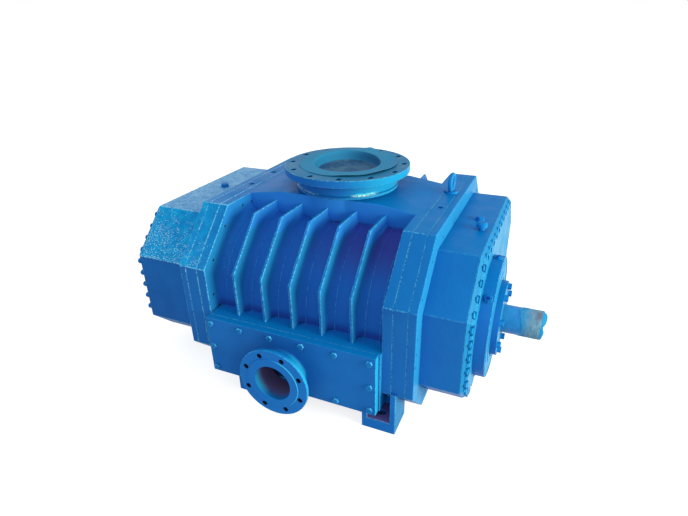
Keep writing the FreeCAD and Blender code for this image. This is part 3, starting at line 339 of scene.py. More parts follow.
def weld_glare(paint):
    """Glare on the weld at the inlet neck's foot, in front at the left and at the right."""
    specks = paint.ramp(paint.noise(150.0, 2.0), 0.42, 0.56)
    near_side = paint.ramp(paint.axis("Y"), -70 * MM, -110 * MM)
    left = paint.product(
        paint.ramp(paint.from_casing, -20 * MM, -50 * MM), near_side,
        paint.ramp(paint.up, 0.6, 0.9))
    paint.coat(paint.product(specks, left), rgb(150, 214, 240))
    right = paint.product(
        paint.ramp(paint.from_casing, 75 * MM, 100 * MM),
        paint.ramp(paint.from_casing, 155 * MM, 135 * MM), near_side)
    paint.coat(paint.product(right, 0.8), rgb(60, 196, 236))
    paint.coat(paint.product(specks, right, paint.ramp(paint.up, 0.3, 0.7)), rgb(240, 248, 214))


def shaded_foot_pockets(paint):
    """Painted shade: dull violet inside the feet's pockets."""
    inner = paint.product(
        paint.ramp(paint.aside, 396 * MM, 400 * MM), paint.ramp(paint.height, 30 * MM, 34 * MM),
        paint.ramp(paint.height, 100 * MM, 80 * MM))
    side_wall = paint.ramp(paint.size(paint.back), 0.9, 0.7)
    pockets = [
        paint.near(paint.from_casing, middle, POCKET_HALF + 1.4 * MM, POCKET_HALF + 0.4 * MM)
        for middle in POCKET_MIDDLES]
    paint.coat(
        paint.product(inner, side_wall, paint.maths("MAXIMUM", *pockets)), rgb(104, 98, 168))


def bright_edges(paint, edge_light):
    """Dotted light on the rounded edges, brightest at the left end of the pump."""
    to_left = paint.ramp(
        paint.along, 250 * MM, -450 * MM, edge_light, min(1.0, edge_light * 2))
    dotted = paint.ramp(paint.noise(150.0, 2.0), 0.38, 0.6)
    edge = paint.product(paint.marked("edge"), dotted, to_left)
    for dulled in paint.dulled_edges:
        edge = paint.product(edge, paint.all_but(dulled))
    paint.coat(edge, rgb(96, 196, 236))
    fringe = paint.product(
        paint.marked("edge"), paint.ramp(paint.along, -360 * MM, -420 * MM),
        paint.ramp(paint.noise(170.0, 2.0), 0.46, 0.6))
    higher_up = paint.ramp(paint.height, 360 * MM, 420 * MM, 0.35, 0.9)
    paint.coat(paint.product(fringe, higher_up), rgb(160, 222, 246))


def slant_sparkle(paint):
    """Painted glare on the left slants, as cyan haze and bright specks, and pale painted glare,
    grained, on the left roof.
    """
    left = paint.ramp(paint.along, -300 * MM, -520 * MM)
    slant = paint.product(paint.ramp(paint.up, 0.25, 0.6), paint.ramp(paint.up, 0.97, 0.9))
    glare_haze = paint.ramp(paint.noise(30.0, 5.0, 0.7), 0.3, 0.7, 0.3, 0.8)
    paint.coat(paint.product(left, slant, glare_haze), rgb(4, 170, 232))
    crowd = paint.total(
        paint.noise(38.0, 4.0, 0.65),
        paint.ramp(paint.height, 560 * MM, 420 * MM, 0.0, 0.2),
        paint.ramp(paint.along, -500 * MM, -690 * MM, 0.0, 0.12))
    sparkle = paint.product(paint.dots(230.0, (1.0, 1.0, 0.6)), paint.ramp(crowd, 0.50, 0.80))
    to_front = paint.ramp(paint.back, -0.3, -0.5)
    paint.coat(paint.product(left, slant, to_front, sparkle, 0.95), rgb(196, 240, 254))
    glare_grain = paint.ramp(paint.noise(190.0, 3.0, 0.7), 0.35, 0.62, 0.35, 1.0)
    left_roof = paint.product(
        paint.ramp(paint.up, 0.93, 1.0), paint.ramp(paint.along, -400 * MM, -620 * MM))
    paint.coat(paint.product(left_roof, glare_haze, glare_grain), rgb(150, 206, 236))


def sprayed_blue(name, deep=DEEP_BLUE, fresh=FRESH_BLUE, sunny=None, peel=0.3, edge_light=0.45,
                 detail=None, sparkle=False):
    """Machine paint sprayed over rough castings: mottled and orange-peeled, with painted light on
    its upward and right-facing faces and a painted sky reflection on the left tops.
    """
    paint = Paint(name, deep)
    paint.coat(paint.ramp(paint.noise(3.1, 3.0), 0.35, 0.65), fresh)
    streak = paint.noise(9.0, 4.0, 0.6, paint.stretched((1.0, 1.0, 0.25)))
    paint.coat(paint.ramp(streak, 0.5, 0.8, 0.0, 0.14), rgb(26, 128, 200))
    # Painted light: upward faces take a clearer blue and faces turned to the right a lighter cyan.
    paint.coat(paint.ramp(paint.up, 0.45, 0.95, 0.0, 0.9), rgb(1, 107, 178))
    paint.coat(paint.ramp(paint.right, 0.5, 0.95, 0.0, 0.8), rgb(34, 133, 194))
    if sunny:
        sunlit(paint, sunny)
    # Painted reflection: a greyish, mottled sky reflection on the upward faces towards the left
    # end.
    top_sky_reflection = paint.product(
        paint.ramp(paint.up, 0.93, 1.0), paint.ramp(paint.along, -200 * MM, -500 * MM, 0.0, 0.22),
        paint.ramp(paint.noise(6.0, 5.0, 0.65), 0.35, 0.75))
    paint.coat(top_sky_reflection, rgb(82, 138, 182))
    if detail:
        detail(paint)
    bright_edges(paint, edge_light)
    if sparkle:
        slant_sparkle(paint)
    paint.set(Base_Color=paint.colour, Specular_IOR_Level=0.04)
    paint.set(Roughness=paint.ramp(paint.noise(14.0, 4.0), 0.3, 0.7, 0.34, 0.48))
    lumps = paint.total(paint.product(paint.noise(45.0, 3.0), 1.6), paint.noise(170.0, 3.0, 0.6))
    paint.bump(lumps, peel, 1.2 * MM)
    return paint.material


def sprayed_shaft(name):
    """Steel inside the pump; outside it the shaft caught the blue, brightest on its tip."""
    shaft = Shade(name)
    along = shaft.axis("X")
    stain = shaft.noise(40.0, 4.0, 0.6)
    outside = shaft.ramp(along, 520 * MM, 530 * MM)
    blue = shaft.blend(shaft.ramp(stain, 0.35, 0.65), rgb(20, 112, 184), rgb(26, 130, 196))
    blue = shaft.blend(shaft.ramp(along, 640 * MM, 647 * MM), blue, rgb(26, 140, 200))
    steel = shaft.blend(stain, rgb(120, 122, 124), rgb(176, 178, 180))
    shaft.set(Base_Color=shaft.blend(outside, steel, blue), Metallic=shaft.all_but(outside))
    shaft.set(Roughness=shaft.ramp(stain, 0.3, 0.7, 0.3, 0.5), Specular_IOR_Level=0.25)
    shaft.bump(shaft.noise(160.0, 3.0, 0.6), 0.25, 0.6 * MM)
    return shaft.material


def machined_steel(name, colour=rgb(168, 170, 172), rough=0.3, rings=220.0):
    """Turned or ground steel with fine tool marks and darker stains."""
    steel = Shade(name)
    cut = steel.noise(rings, 2.0, 0.6, steel.stretched((1.0, 0.15, 0.15)))
    stain = steel.ramp(steel.noise(11.0, 4.0, 0.6), 0.45, 0.8)
    stained = tuple(c * 0.62 for c in colour[:3]) + (1,)
    steel.set(Base_Color=steel.blend(stain, colour, stained), Metallic=1.0)
    steel.set(Roughness=steel.ramp(cut, 0.3, 0.7, rough * 0.8, rough * 1.4))
    steel.bump(cut, 0.15, 0.4 * MM)
    return steel.material


def cast_grey(name):
    """Bare grey iron with its casting skin."""
    iron = Shade(name)
    skin = iron.noise(60.0, 5.0, 0.65)
    iron.set(Base_Color=iron.blend(skin, rgb(70, 70, 70), rgb(120, 118, 114)), Metallic=0.6)
    iron.set(Roughness=iron.ramp(skin, 0.3, 0.7, 0.45, 0.7))
    iron.bump(skin, 0.4, 1.5 * MM)
    return iron.material


def brass(name):
    metal = Shade(name)
    stain = metal.noise(30.0, 4.0, 0.6)
    metal.set(Base_Color=metal.blend(stain, rgb(150, 112, 50), rgb(214, 176, 98)), Metallic=1.0)
    metal.set(Roughness=metal.ramp(stain, 0.3, 0.7, 0.25, 0.45))
    metal.bump(metal.noise(400.0), 0.1, 0.3 * MM)
    return metal.material


def black_rubber(name):
    rubber = Shade(name)
    bloom = rubber.noise(40.0, 4.0, 0.6)
    rubber.set(Base_Color=rubber.blend(bloom, rgb(18, 18, 19), rgb(46, 46, 48)))
    rubber.set(Roughness=rubber.ramp(bloom, 0.3, 0.7, 0.5, 0.8))
    rubber.bump(rubber.noise(500.0), 0.2, 0.3 * MM)
    return rubber.material


def oiled_glass(name):
    glass = Shade(name)
    film = glass.noise(35.0, 3.0)
    glass.set(Base_Color=glass.blend(film, rgb(150, 140, 96), rgb(196, 190, 150)))
    glass.set(Roughness=glass.ramp(film, 0.3, 0.7, 0.04, 0.14))
    glass.set(Transmission_Weight=0.35, IOR=1.5, Coat_Weight=0.6, Coat_Roughness=0.05)
    return glass.material


def overspray_sheet(name):
    """Dull sheet of the loose strainer with blue drifted over it, dirt on its floor, and painted
    light and shade on its inner wall.
    """
    sheet = Shade(name)
    drift = sheet.noise(13.0, 5.0, 0.62)
    colour = sheet.blend(sheet.ramp(drift, 0.36, 0.66), rgb(24, 116, 164), rgb(48, 126, 164))
    away = sheet.radius(sheet.past(sheet.axis("X"), CASING_X), sheet.axis("Y"))
    # Painted light and shade: the dish's inner wall is lighter at the left and darker at the right.
    to_right = sheet.ramp(sheet.axis("X"), -160 * MM, 30 * MM)
    wall = sheet.blend(to_right, rgb(34, 122, 172), rgb(30, 92, 140))
    colour = sheet.blend(sheet.ramp(away, 118 * MM, 116.8 * MM), colour, wall)
    flat_floor = sheet.product(
        sheet.ramp(away, 112.5 * MM, 110.5 * MM), sheet.ramp(sheet.facing("Z"), 0.7, 0.9))
    dirt = sheet.ramp(sheet.noise(15.0, 5.0, 0.7), 0.42, 0.6)
    litter = sheet.blend(dirt, rgb(62, 102, 134), rgb(34, 78, 120))
    specks = sheet.ramp(sheet.noise(70.0, 4.0, 0.7), 0.58, 0.68)
    litter = sheet.blend(sheet.product(specks, 0.6), litter, rgb(86, 78, 96))
    sheet.set(Base_Color=sheet.blend(flat_floor, colour, litter), Specular_IOR_Level=0.15)
    sheet.set(Roughness=sheet.ramp(drift, 0.3, 0.7, 0.6, 0.85))
    sheet.bump(sheet.noise(90.0, 4.0, 0.6), 0.35, MM)
    return sheet.material


def tape_wrap(name):
    """Masking tape wound on the shaft end, ragged and dusted with blue; its end is blue."""
    tape = Shade(name)
    along = tape.axis("X")
    drift = tape.noise(24.0, 5.0, 0.6)
    creases = tape.noise(70.0, 4.0, 0.6, tape.stretched((2.2, 0.7, 0.7)))
    paper = tape.blend(tape.ramp(creases, 0.35, 0.65), rgb(76, 124, 162), rgb(112, 148, 172))
    bare = tape.product(
        tape.ramp(tape.axis("Z"), 318 * MM, 338 * MM), tape.ramp(along, 606 * MM, 634 * MM),
        tape.ramp(drift, 0.4, 0.6))
    paper = tape.blend(bare, paper, rgb(92, 100, 122))
    to_tip = tape.ramp(tape.total(along, tape.product(drift, 50 * MM)), 612 * MM, 650 * MM)
    colour = tape.blend(to_tip, rgb(30, 126, 184), paper)
    colour = tape.blend(tape.ramp(along, 647.5 * MM, 649.5 * MM), colour, rgb(22, 138, 196))
    tape.set(Base_Color=colour, Specular_IOR_Level=0.2)
    tape.set(Roughness=tape.ramp(creases, 0.3, 0.7, 0.55, 0.8))
    tape.bump(creases, 0.6, 1.5 * MM)
    return tape.material


def hollow_shade(name, low=rgb(26, 26, 62), high=rgb(40, 48, 92)):
    """Painted shade: the dark colour given to the inside of a hole, which hardly catches any light.
    """
    hollow = Shade(name)
    murk = hollow.noise(50.0, 3.0)
    hollow.set(Base_Color=hollow.blend(murk, low, high), Specular_IOR_Level=0.05)
    hollow.set(Roughness=hollow.ramp(murk, 0.3, 0.7, 0.6, 0.9))
    hollow.bump(murk, 0.2, 0.5 * MM)
    return hollow.material


casting_paint = sprayed_blue("casting_paint", detail=round_shells, sparkle=True)
# Painted light: the feet's blues are lighter than the others, against the shade they stand in.
foot_paint = sprayed_blue(
    "foot_paint", rgb(27, 110, 202), rgb(32, 124, 214), rgb(10, 104, 164), detail=shaded_foot_pockets)
cover_paint = sprayed_blue(
    "cover_paint", sunny=rgb(28, 124, 180), peel=0.25, edge_light=0.5, detail=shaded_bolt_seats)
port_paint = sprayed_blue(
    "port_paint", rgb(27, 102, 186), rgb(32, 116, 202), rgb(28, 160, 216), peel=0.2,
    edge_light=0.32, detail=nozzle_mouth)
box_paint = sprayed_blue("box_paint", peel=0.45, edge_light=0.15, sparkle=True)
nozzle_paint = sprayed_blue("nozzle_paint", sunny=NOZZLE_SUNNY, peel=0.2, detail=face_sky_reflection)
weld_paint = sprayed_blue("weld_paint", sunny=NOZZLE_SUNNY, peel=0.2, detail=weld_glare)
bolt_paint = sprayed_blue(
    "bolt_paint", rgb(16, 108, 190), rgb(26, 128, 206), peel=0.2, edge_light=0.6)
cap_bolt_paint = sprayed_blue(
    "cap_bolt_paint", rgb(14, 102, 176), rgb(20, 116, 188), rgb(24, 140, 200), peel=0.2,
    edge_light=0.4)
shaft_steel = machined_steel("shaft_steel")
drive_shaft_finish = sprayed_shaft("drive_shaft_finish")
gear_steel = machined_steel("gear_steel", rgb(140, 142, 146), 0.36, 90.0)
bearing_steel = machined_steel("bearing_steel", rgb(188, 190, 194), 0.18, 60.0)
plain_steel = machined_steel("plain_steel", rgb(128, 130, 132), 0.42, 120.0)
rotor_iron = cast_grey("rotor_iron")
seal_iron = cast_grey("seal_iron")
cage_brass = brass("cage_brass")
seal_rubber = black_rubber("seal_rubber")
sight_glass = oiled_glass("sight_glass")
strainer_sheet = overspray_sheet("strainer_sheet")
shaft_tape = tape_wrap("shaft_tape")
# Painted shade for the insides of holes and sockets.
hole_shade = hollow_shade("hole_shade")
socket_shade = hollow_shade("socket_shade", rgb(10, 52, 138), rgb(16, 62, 152))

NODE_PAINT = {
    "casing": casting_paint, "mounting_feet": foot_paint,
    "gear_end_plate": casting_paint, "drive_end_plate": casting_paint,
    "gear_cover": box_paint, "oil_box": box_paint,
    "gear_box_end_cover": cover_paint, "oil_box_end_cover": cover_paint,
    "shaft_end_cover": cover_paint, "seal_housing": cover_paint,
    "front_port_cover": port_paint, "rear_port_cover": port_paint,
    "inlet_nozzle": nozzle_paint, "discharge_flange": nozzle_paint,
    "inlet_strainer": strainer_sheet,
    "gear_cover_bolts": bolt_paint, "oil_box_bolts": cap_bolt_paint,
    "seal_housing_bolts": bolt_paint, "shaft_cover_screws": bolt_paint,
    "port_cover_bolts": bolt_paint, "lifting_eye": bolt_paint,
    "oil_filler_plugs": bolt_paint, "oil_drain_plugs": bolt_paint,
    "oil_box_breather": bolt_paint, "shaft_cover_plugs": bolt_paint,
    "sight_glass_rings": bolt_paint, "sight_glass_lenses": sight_glass,
    "drive_shaft": drive_shaft_finish, "driven_shaft": shaft_steel,
    "drive_rotor": rotor_iron, "driven_rotor": rotor_iron,
    "drive_timing_gear": gear_steel, "driven_timing_gear": gear_steel,
    "drive_shaft_nuts": plain_steel, "driven_shaft_nuts": plain_steel,
    "drive_oil_slinger": plain_steel, "driven_oil_slinger": plain_steel,
    "drive_bearing_inner_rings": bearing_steel, "driven_bearing_inner_rings": bearing_steel,
    "drive_bearing_rollers": bearing_steel, "driven_bearing_rollers": bearing_steel,
    "drive_bearing_cages": cage_brass, "driven_bearing_cages": cage_brass,
    "bearing_outer_rings": bearing_steel, "bearing_retainers": plain_steel,
    "retainer_screws": plain_steel, "seal_sleeve": plain_steel,
    "chamber_seal_rings": seal_iron, "lip_seals": seal_rubber,
}
for node_name, node in nodes.items():
    node.data.materials.clear()
    node.data.materials.append(NODE_PAINT[node_name])


# Making pieces --------------------------------------------------------------


def placed(mesh, name):
    """A bmesh put into the scene as an object."""
    data = bpy.data.meshes.new(name)
    mesh.to_mesh(data)
    mesh.free()
    made = bpy.data.objects.new(name, data)
    bpy.context.scene.collection.objects.link(made)
    return made


def finished(mesh, name, material, body, smooth_angle=35):
    """A bmesh becomes a piece that rides on a body, with flat faces kept flat."""
    for face in mesh.faces:
        face.smooth = True
    for edge in mesh.edges:
        bent = len(edge.link_faces) != 2 or edge.calc_face_angle(0) > math.radians(smooth_angle)
        edge.smooth = not bent
    piece = placed(mesh, name)
    piece.data.materials.append(material)
    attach(piece, body)
    return piece


def joined(mesh):
    """Doubled corners merged and every face turned outward."""
    bmesh.ops.remove_doubles(mesh, verts=mesh.verts, dist=1e-6)
    bmesh.ops.recalc_face_normals(mesh, faces=mesh.faces)


def merged_copy(node_name):
    """A CAD node's mesh with its doubled corners merged and its flat faces joined."""
    mesh = bmesh.new()
    mesh.from_mesh(nodes[node_name].data)
    bmesh.ops.remove_doubles(mesh, verts=mesh.verts, dist=1e-5)
    bmesh.ops.dissolve_limit(
        mesh, angle_limit=math.radians(1), use_dissolve_boundaries=False,
        verts=mesh.verts, edges=mesh.edges)
    return mesh


def island_middles(mesh):
    """The middle of each separate solid in a mesh."""
    left = set(mesh.verts)
    middles = []
    for start in mesh.verts:
        if start not in left:
            continue
        left.remove(start)
        reached = [start]
        for vert in reached:
            near = {edge.other_vert(vert) for edge in vert.link_edges} & left
            left -= near
            reached += near
        low = Vector([min(v.co[i] for v in reached) for i in range(3)])
        high = Vector([max(v.co[i] for v in reached) for i in range(3)])
        middles.append((low + high) / 2)
    return middles


def spot_face_cutters(bolt_node, floor, way):
    """Round tools that open the spot faces below the slants out through the cover's bevel."""
    depth = 30 * MM
    bolts = merged_copy(bolt_node)
    tools = bmesh.new()
    for middle in island_middles(bolts):
        if middle.z > SLANT_LOW:
            continue
        at = Vector((floor + way * depth / 2, middle.y, middle.z))
        bmesh.ops.create_cone(
            tools, cap_ends=True, segments=28, radius1=SPOT_FACE_R, radius2=SPOT_FACE_R,
            depth=depth, matrix=Matrix.Translation(at) @ Matrix.Rotation(math.pi / 2, 4, "Y"))
    bolts.free()
    return tools


def cut_out(mesh, tools):
    """What is left of a mesh when the tools' solids are cut out of it."""
    piece = placed(mesh, "cut_piece")
    cutter = placed(tools, "cut_tools")
    cut = piece.modifiers.new("spot_faces", "BOOLEAN")
    cut.operation, cut.solver, cut.object = "DIFFERENCE", "EXACT", cutter
    seen = piece.evaluated_get(bpy.context.evaluated_depsgraph_get())
    left = bmesh.new()
    left.from_mesh(seen.to_mesh())
    seen.to_mesh_clear()
    for item in (piece, cutter):
        data = item.data
        bpy.data.objects.remove(item)
        bpy.data.meshes.remove(data)
    bmesh.ops.remove_doubles(left, verts=left.verts, dist=1e-5)
    return left


def broken_edges(name, node_name, width, shortest, tools=None):
    """A casting's copy with its long outer edges rounded and marked for the paint."""
    mesh = merged_copy(node_name)
    if tools:
        mesh = cut_out(mesh, tools)
    sharp = [
        e for e in mesh.edges
        if len(e.link_faces) == 2 and e.is_convex
        and e.calc_face_angle(0) > math.radians(25) and e.calc_length() > shortest]
    mark = mesh.faces.layers.float.new("edge")
    rounded = bmesh.ops.bevel(
        mesh, geom=sharp, offset=width, offset_type="OFFSET", segments=2,
        profile=0.5, affect="EDGES", material=-1, clamp_overlap=False, loop_slide=True)
    for face in rounded["faces"]:
        face[mark] = 1.0
    piece = finished(mesh, name, NODE_PAINT[node_name], "stator")
    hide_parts(node_name)
    shading = piece.modifiers.new("flat_faces", "WEIGHTED_NORMAL")
    shading.keep_sharp = True


def lowered_heads(name, node_name, seat, way, drop, slant_drop):
    """Bolt heads sit deeper in their spot faces, most on the slants; all have rounded corners."""
    mesh = merged_copy(node_name)
    tops = {vert for vert in mesh.verts if (vert.co.x - seat) * way > 9 * MM}
    for vert in tops:
        vert.co.x -= way * (slant_drop if vert.co.z > SLANT_LOW else drop)
    rims = [edge for edge in mesh.edges if all(vert in tops for vert in edge.verts)]
    bmesh.ops.bevel(
        mesh, geom=rims, offset=1.2 * MM, offset_type="OFFSET", segments=2, profile=0.5,
        affect="EDGES", material=-1, clamp_overlap=True)
    piece = finished(mesh, name, NODE_PAINT[node_name], "stator", 50)
    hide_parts(node_name)


def swept(mesh, outline, centre, axis, angle, steps):
    """A closed outline of points swept round an axis; a full turn joins up with its start."""
    corners = [mesh.verts.new(p) for p in outline]
    lines = [mesh.edges.new(pair) for pair in zip(corners, corners[1:] + corners[:1])]
    bmesh.ops.spin(
        mesh, geom=corners + lines, cent=centre, axis=axis, angle=angle, steps=steps,
        use_merge=abs(angle) > math.tau - 1e-6)


def ring_sweep(name, outline, centre, axis, steps, material, slot, shake=0.0):
    """A closed ring swept once round an axis, shaken a little where it is a weld."""
    mesh = bmesh.new()
    swept(mesh, outline, centre, axis, math.tau, steps)
    bmesh.ops.remove_doubles(mesh, verts=mesh.verts, dist=1e-6)
    if shake:
        for vert in mesh.verts:
            vert.co += turbulence.noise_vector(vert.co * 90) * shake
    bmesh.ops.recalc_face_normals(mesh, faces=mesh.faces)
    finished(mesh, name, material, "stator", 60)


def round_bead(size, at):
    """Corners of a weld bead's section; at(across, along) places each of them."""
    turns = [math.tau * n / 8 for n in range(8)]
    return [at(size * math.cos(turn), size * math.sin(turn)) for turn in turns]


def hollow_fillet(size, at):
    """Corners of a dished weld between two walls; at(away from one, away from the other)."""
    bend = [math.pi / 2 * n / 6 for n in range(7)]
    return [at(-MM, -MM)] + [at(size * (1 - math.sin(t)), size * (1 - math.cos(t))) for t in bend]


def rib_roots():
    """Cast fillets where each rib and flange meets the round shell, front and rear."""
    steps = 6
    bedded = 0.3 * MM
    root = SHELL_R - 1.5 * MM
    walls = [(-FLANGE_INSIDE, 1), (FLANGE_INSIDE, -1)]
    for rib in range(1, RIBS + 1):
        middle = -FLANGE_INSIDE + RIB_PITCH * rib
        walls += [(middle + RIB_T / 2, 1), (middle - RIB_T / 2, -1)]
    mesh = bmesh.new()
    for side in (-1, 1):

        def corner(spot, reach):
            return Vector((CASING_X + spot, side * (AXIS_Y + reach), AXIS_Z))

        for wall, way in walls:
            outline = []
            for step in range(steps + 1):
                turn = math.pi / 2 * step / steps
                along = FILLET_R * (1 - math.sin(turn))
                out = FILLET_R * (1 - math.cos(turn))
                outline.append(corner(wall + way * along, SHELL_R + out - bedded))
            outline += [
                corner(wall - way * MM, SHELL_R + FILLET_R - bedded),
                corner(wall - way * MM, root), corner(wall + way * FILLET_R, root)]
            swept(mesh, outline, (0, AXIS_Y * side, AXIS_Z), (1, 0, 0), side * math.radians(88), 18)
    bmesh.ops.holes_fill(mesh, edges=mesh.edges, sides=0)
    joined(mesh)
    finished(mesh, "rib_root_fillets", casting_paint, "stator", 50)


def welds():
    """Weld beads at the foot and the top of the inlet neck and round both nozzle necks."""
    upright = ((CASING_X, 0, 0), (0, 0, 1), 96)
    neck_foot = hollow_fillet(8 * MM, lambda out, up: Vector((
        CASING_X + INLET_NECK_R + out, 0, PEDESTAL_TOP + 10 * MM + up)))
    ring_sweep("inlet_neck_weld", neck_foot, *upright, weld_paint, "nozzle_paint", MM)
    under_flange = round_bead(4 * MM, lambda out, up: Vector((
        CASING_X + INLET_NECK_R + MM + out, 0, INLET_TOP - 25 * MM + up)))
    ring_sweep("inlet_flange_weld", under_flange, *upright, nozzle_paint, "nozzle_paint", 0.8 * MM)
    for label, side in (("front", -1), ("rear", 1)):
        axis_x = CASING_X + NOZZLE_X * side
        root = hollow_fillet(11 * MM, lambda out, away: Vector((
            axis_x + NOZZLE_NECK_R + out, side * (504 * MM + away), NOZZLE_Z)))
        ring_sweep(label + "_neck_weld", root, (axis_x, 0, NOZZLE_Z), (0, 1, 0), 64, port_paint,
                   "nozzle_paint", MM)


def hole_shade_sleeves():
    """Sleeves of painted shade in the bolt holes of the pipe flanges, which look dark from outside.
    """
    mesh = bmesh.new()

    def lining(mouth, inward, wall, hole, length):
        aside = inward.orthogonal().normalized()
        outline = [(wall, 0), (hole, 0), (hole - 0.4 * MM, length / 2), (hole, length),
                   (wall, length)]
        corners = [mouth + aside * out + inward * deep for out, deep in outline]
        swept(mesh, corners, mouth, inward, math.tau, 16)

    def on_circle(radius, holes):
        turns = [math.tau * (number + 0.5) / holes for number in range(holes)]
        return [(radius * math.cos(turn), radius * math.sin(turn)) for turn in turns]

    for x, y in on_circle(INLET_HOLES_R, 12):
        mouth = Vector((CASING_X + x, y, INLET_HOLES_TOP - 0.5 * MM))
        lining(mouth, Vector((0, 0, -1)), 11.2 * MM, 8.6 * MM, 22 * MM)
    for side in (-1, 1):
        for x, z in on_circle(NOZZLE_HOLES_R, 8):
            mouth = Vector((
                CASING_X + NOZZLE_X * side + x, side * NOZZLE_HOLES_FACE, NOZZLE_Z + z))
            lining(mouth, Vector((0, -side, 0)), 9.2 * MM, 7.4 * MM, 16 * MM)
    joined(mesh)
    finished(mesh, "flange_hole_linings", hole_shade, "stator", 50)


def rim_plug_sockets():
    """Sockets in the plugs on the shaft end cover's rim, drawn as discs of painted shade, each with
    a paint lip round it.
    """
    shade_discs = bmesh.new()
    lips = bmesh.new()
    for turn in RIM_PLUG_TURNS:
        out = Vector((0, math.cos(turn), math.sin(turn)))
        at = Vector((RIM_PLUG_X, -AXIS_Y, AXIS_Z)) + out * RIM_PLUG_TOP
        upright = out.to_track_quat("Z", "Y").to_matrix().to_4x4()
        bmesh.ops.create_cone(
            shade_discs, cap_ends=True, segments=20, radius1=6.6 * MM, radius2=6.2 * MM,
            depth=0.9 * MM, matrix=Matrix.Translation(at) @ upright)
        aside = out.cross(Vector((1, 0, 0)))
        lip_middle = at + aside * 11 * MM - out * 7.2 * MM
        lip = round_bead(2.4 * MM, lambda a, b: lip_middle + aside * a + out * b)
        swept(lips, lip, at, out, math.tau, 24)
    joined(lips)
    finished(shade_discs, "rim_plug_sockets", socket_shade, "stator")
    finished(lips, "rim_plug_lips", cap_bolt_paint, "stator", 60)


def towards(turn, degrees):
    """One on the side of a round part that faces a direction, nothing on its far half."""
    return max(0.0, math.cos(turn - math.radians(degrees)))


def strainer():
    """The loose dished sheet, pried up at the back and warped at its rim."""
    sheet_t = 1.4 * MM
    floor = -33
    dish_r, rim_w = 118 * MM, 56 * MM
    section = [(0, floor), (40, floor), (80, floor), (106, floor), (110, floor + 1),
               (113, floor + 4), (114.5, floor + 16), (116, -3.5), (117, -1.2), (119.5, 0),
               (130, 0), (145, 0), (160, 0), (174, 0)]
    mesh = bmesh.new()
    verts = [mesh.verts.new((CASING_X + r * MM, 0, INLET_TOP + z * MM + sheet_t))
             for r, z in section]
    for pair in zip(verts, verts[1:]):
        mesh.edges.new(pair)
    bmesh.ops.spin(
        mesh, geom=mesh.verts[:] + mesh.edges[:], cent=(CASING_X, 0, 0), axis=(0, 0, 1),
        angle=math.tau, steps=120, use_merge=True)
    joined(mesh)
    for vert in mesh.verts:
        out = math.hypot(vert.co.x - CASING_X, vert.co.y)
        turn = math.atan2(vert.co.y, vert.co.x - CASING_X)
        rim = max(0.0, (out - dish_r) / rim_w)
        back = towards(turn, 114)
        from_gap = turn + math.radians(50)
        gap = max(0.0, math.cos(from_gap * 1.6)) if abs(from_gap) < 0.98 else 0.0
        corner = max(0.0, 1 - abs(turn - math.radians(82)) / 0.2)
        pried = back * (13 * min(out / (116 * MM), 1.0) - 6 * rim)
        bent = rim * rim * (4 * towards(turn, 20) + 5 * gap + 7 * corner)
        waves = 0.8 * rim * math.sin(turn * 9)
        pull = rim * MM * (1.6 * math.sin(turn * 7 + 1.0) - 7 * towards(turn, 204))
        vert.co += Vector((
            pull * math.cos(turn), pull * math.sin(turn), MM * (pried + bent + waves)))
        dented = 1 if out > 110 * MM else 1.6
        vert.co.z += 0.5 * MM * turbulence.noise_vector(vert.co * 22).z * dented
    bmesh.ops.solidify(mesh, geom=mesh.faces[:], thickness=sheet_t * 0.8)
    bmesh.ops.recalc_face_normals(mesh, faces=mesh.faces)
    piece = finished(mesh, "strainer_dished_sheet", strainer_sheet, "stator", 50)
    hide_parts("inlet_strainer")


def taped_shaft_end():
    """Wound tape over the shaft's tip; its loose end stands past the shaft in folds."""
    start, end = 588 * MM, 650 * MM
    rings = 20
    ragged_w = folded_w = 12 * MM
    keyway, keyway_half = math.radians(-27), 0.26
    folds = [(math.radians(116), math.radians(40), 12 * MM),
             (math.radians(180), math.radians(20), 8 * MM),
             (math.radians(-70), math.radians(48), 7 * MM)]
    mesh = bmesh.new()
    outline = [(start + (end - start) * n / rings, SHAFT_R + 0.7 * MM) for n in range(rings + 1)]
    outline += [(end, SHAFT_R + 0.1 * MM), (start, SHAFT_R + 0.1 * MM)]
    corners = [Vector((x, -AXIS_Y + r, AXIS_Z)) for x, r in outline]
    swept(mesh, corners, (0, -AXIS_Y, AXIS_Z), (1, 0, 0), math.tau, 96)
    joined(mesh)
    for vert in mesh.verts:
        from_axis = Vector((0, vert.co.y + AXIS_Y, vert.co.z - AXIS_Z))
        turn = math.atan2(from_axis.z, from_axis.y)
        rough = turbulence.noise_vector(vert.co * 55)
        over_key = max(0.0, 1 - abs(turn - keyway) / keyway_half)
        ragged = max(0.0, 1 - (vert.co.x - start) / ragged_w)
        out = from_axis.normalized()
        if from_axis.length > SHAFT_R + 0.4 * MM:
            vert.co += out * MM * (0.6 * rough.x + 0.7 * abs(rough.y) - 3 * over_key)
        vert.co.x += ragged * MM * (9 * rough.z + 5 * math.sin(turn * 2 + 1))
        near_tip = max(0.0, (vert.co.x - end + folded_w) / folded_w) ** 2
        for middle, half, reach in folds:
            away = abs((turn - middle + math.pi) % math.tau - math.pi) / half
            if away < 1:
                vert.co.x += near_tip * reach * math.sqrt(1 - away * away)
                vert.co -= out * near_tip * 3 * MM
    finished(mesh, "shaft_end_tape", shaft_tape, "drive_line", 60)


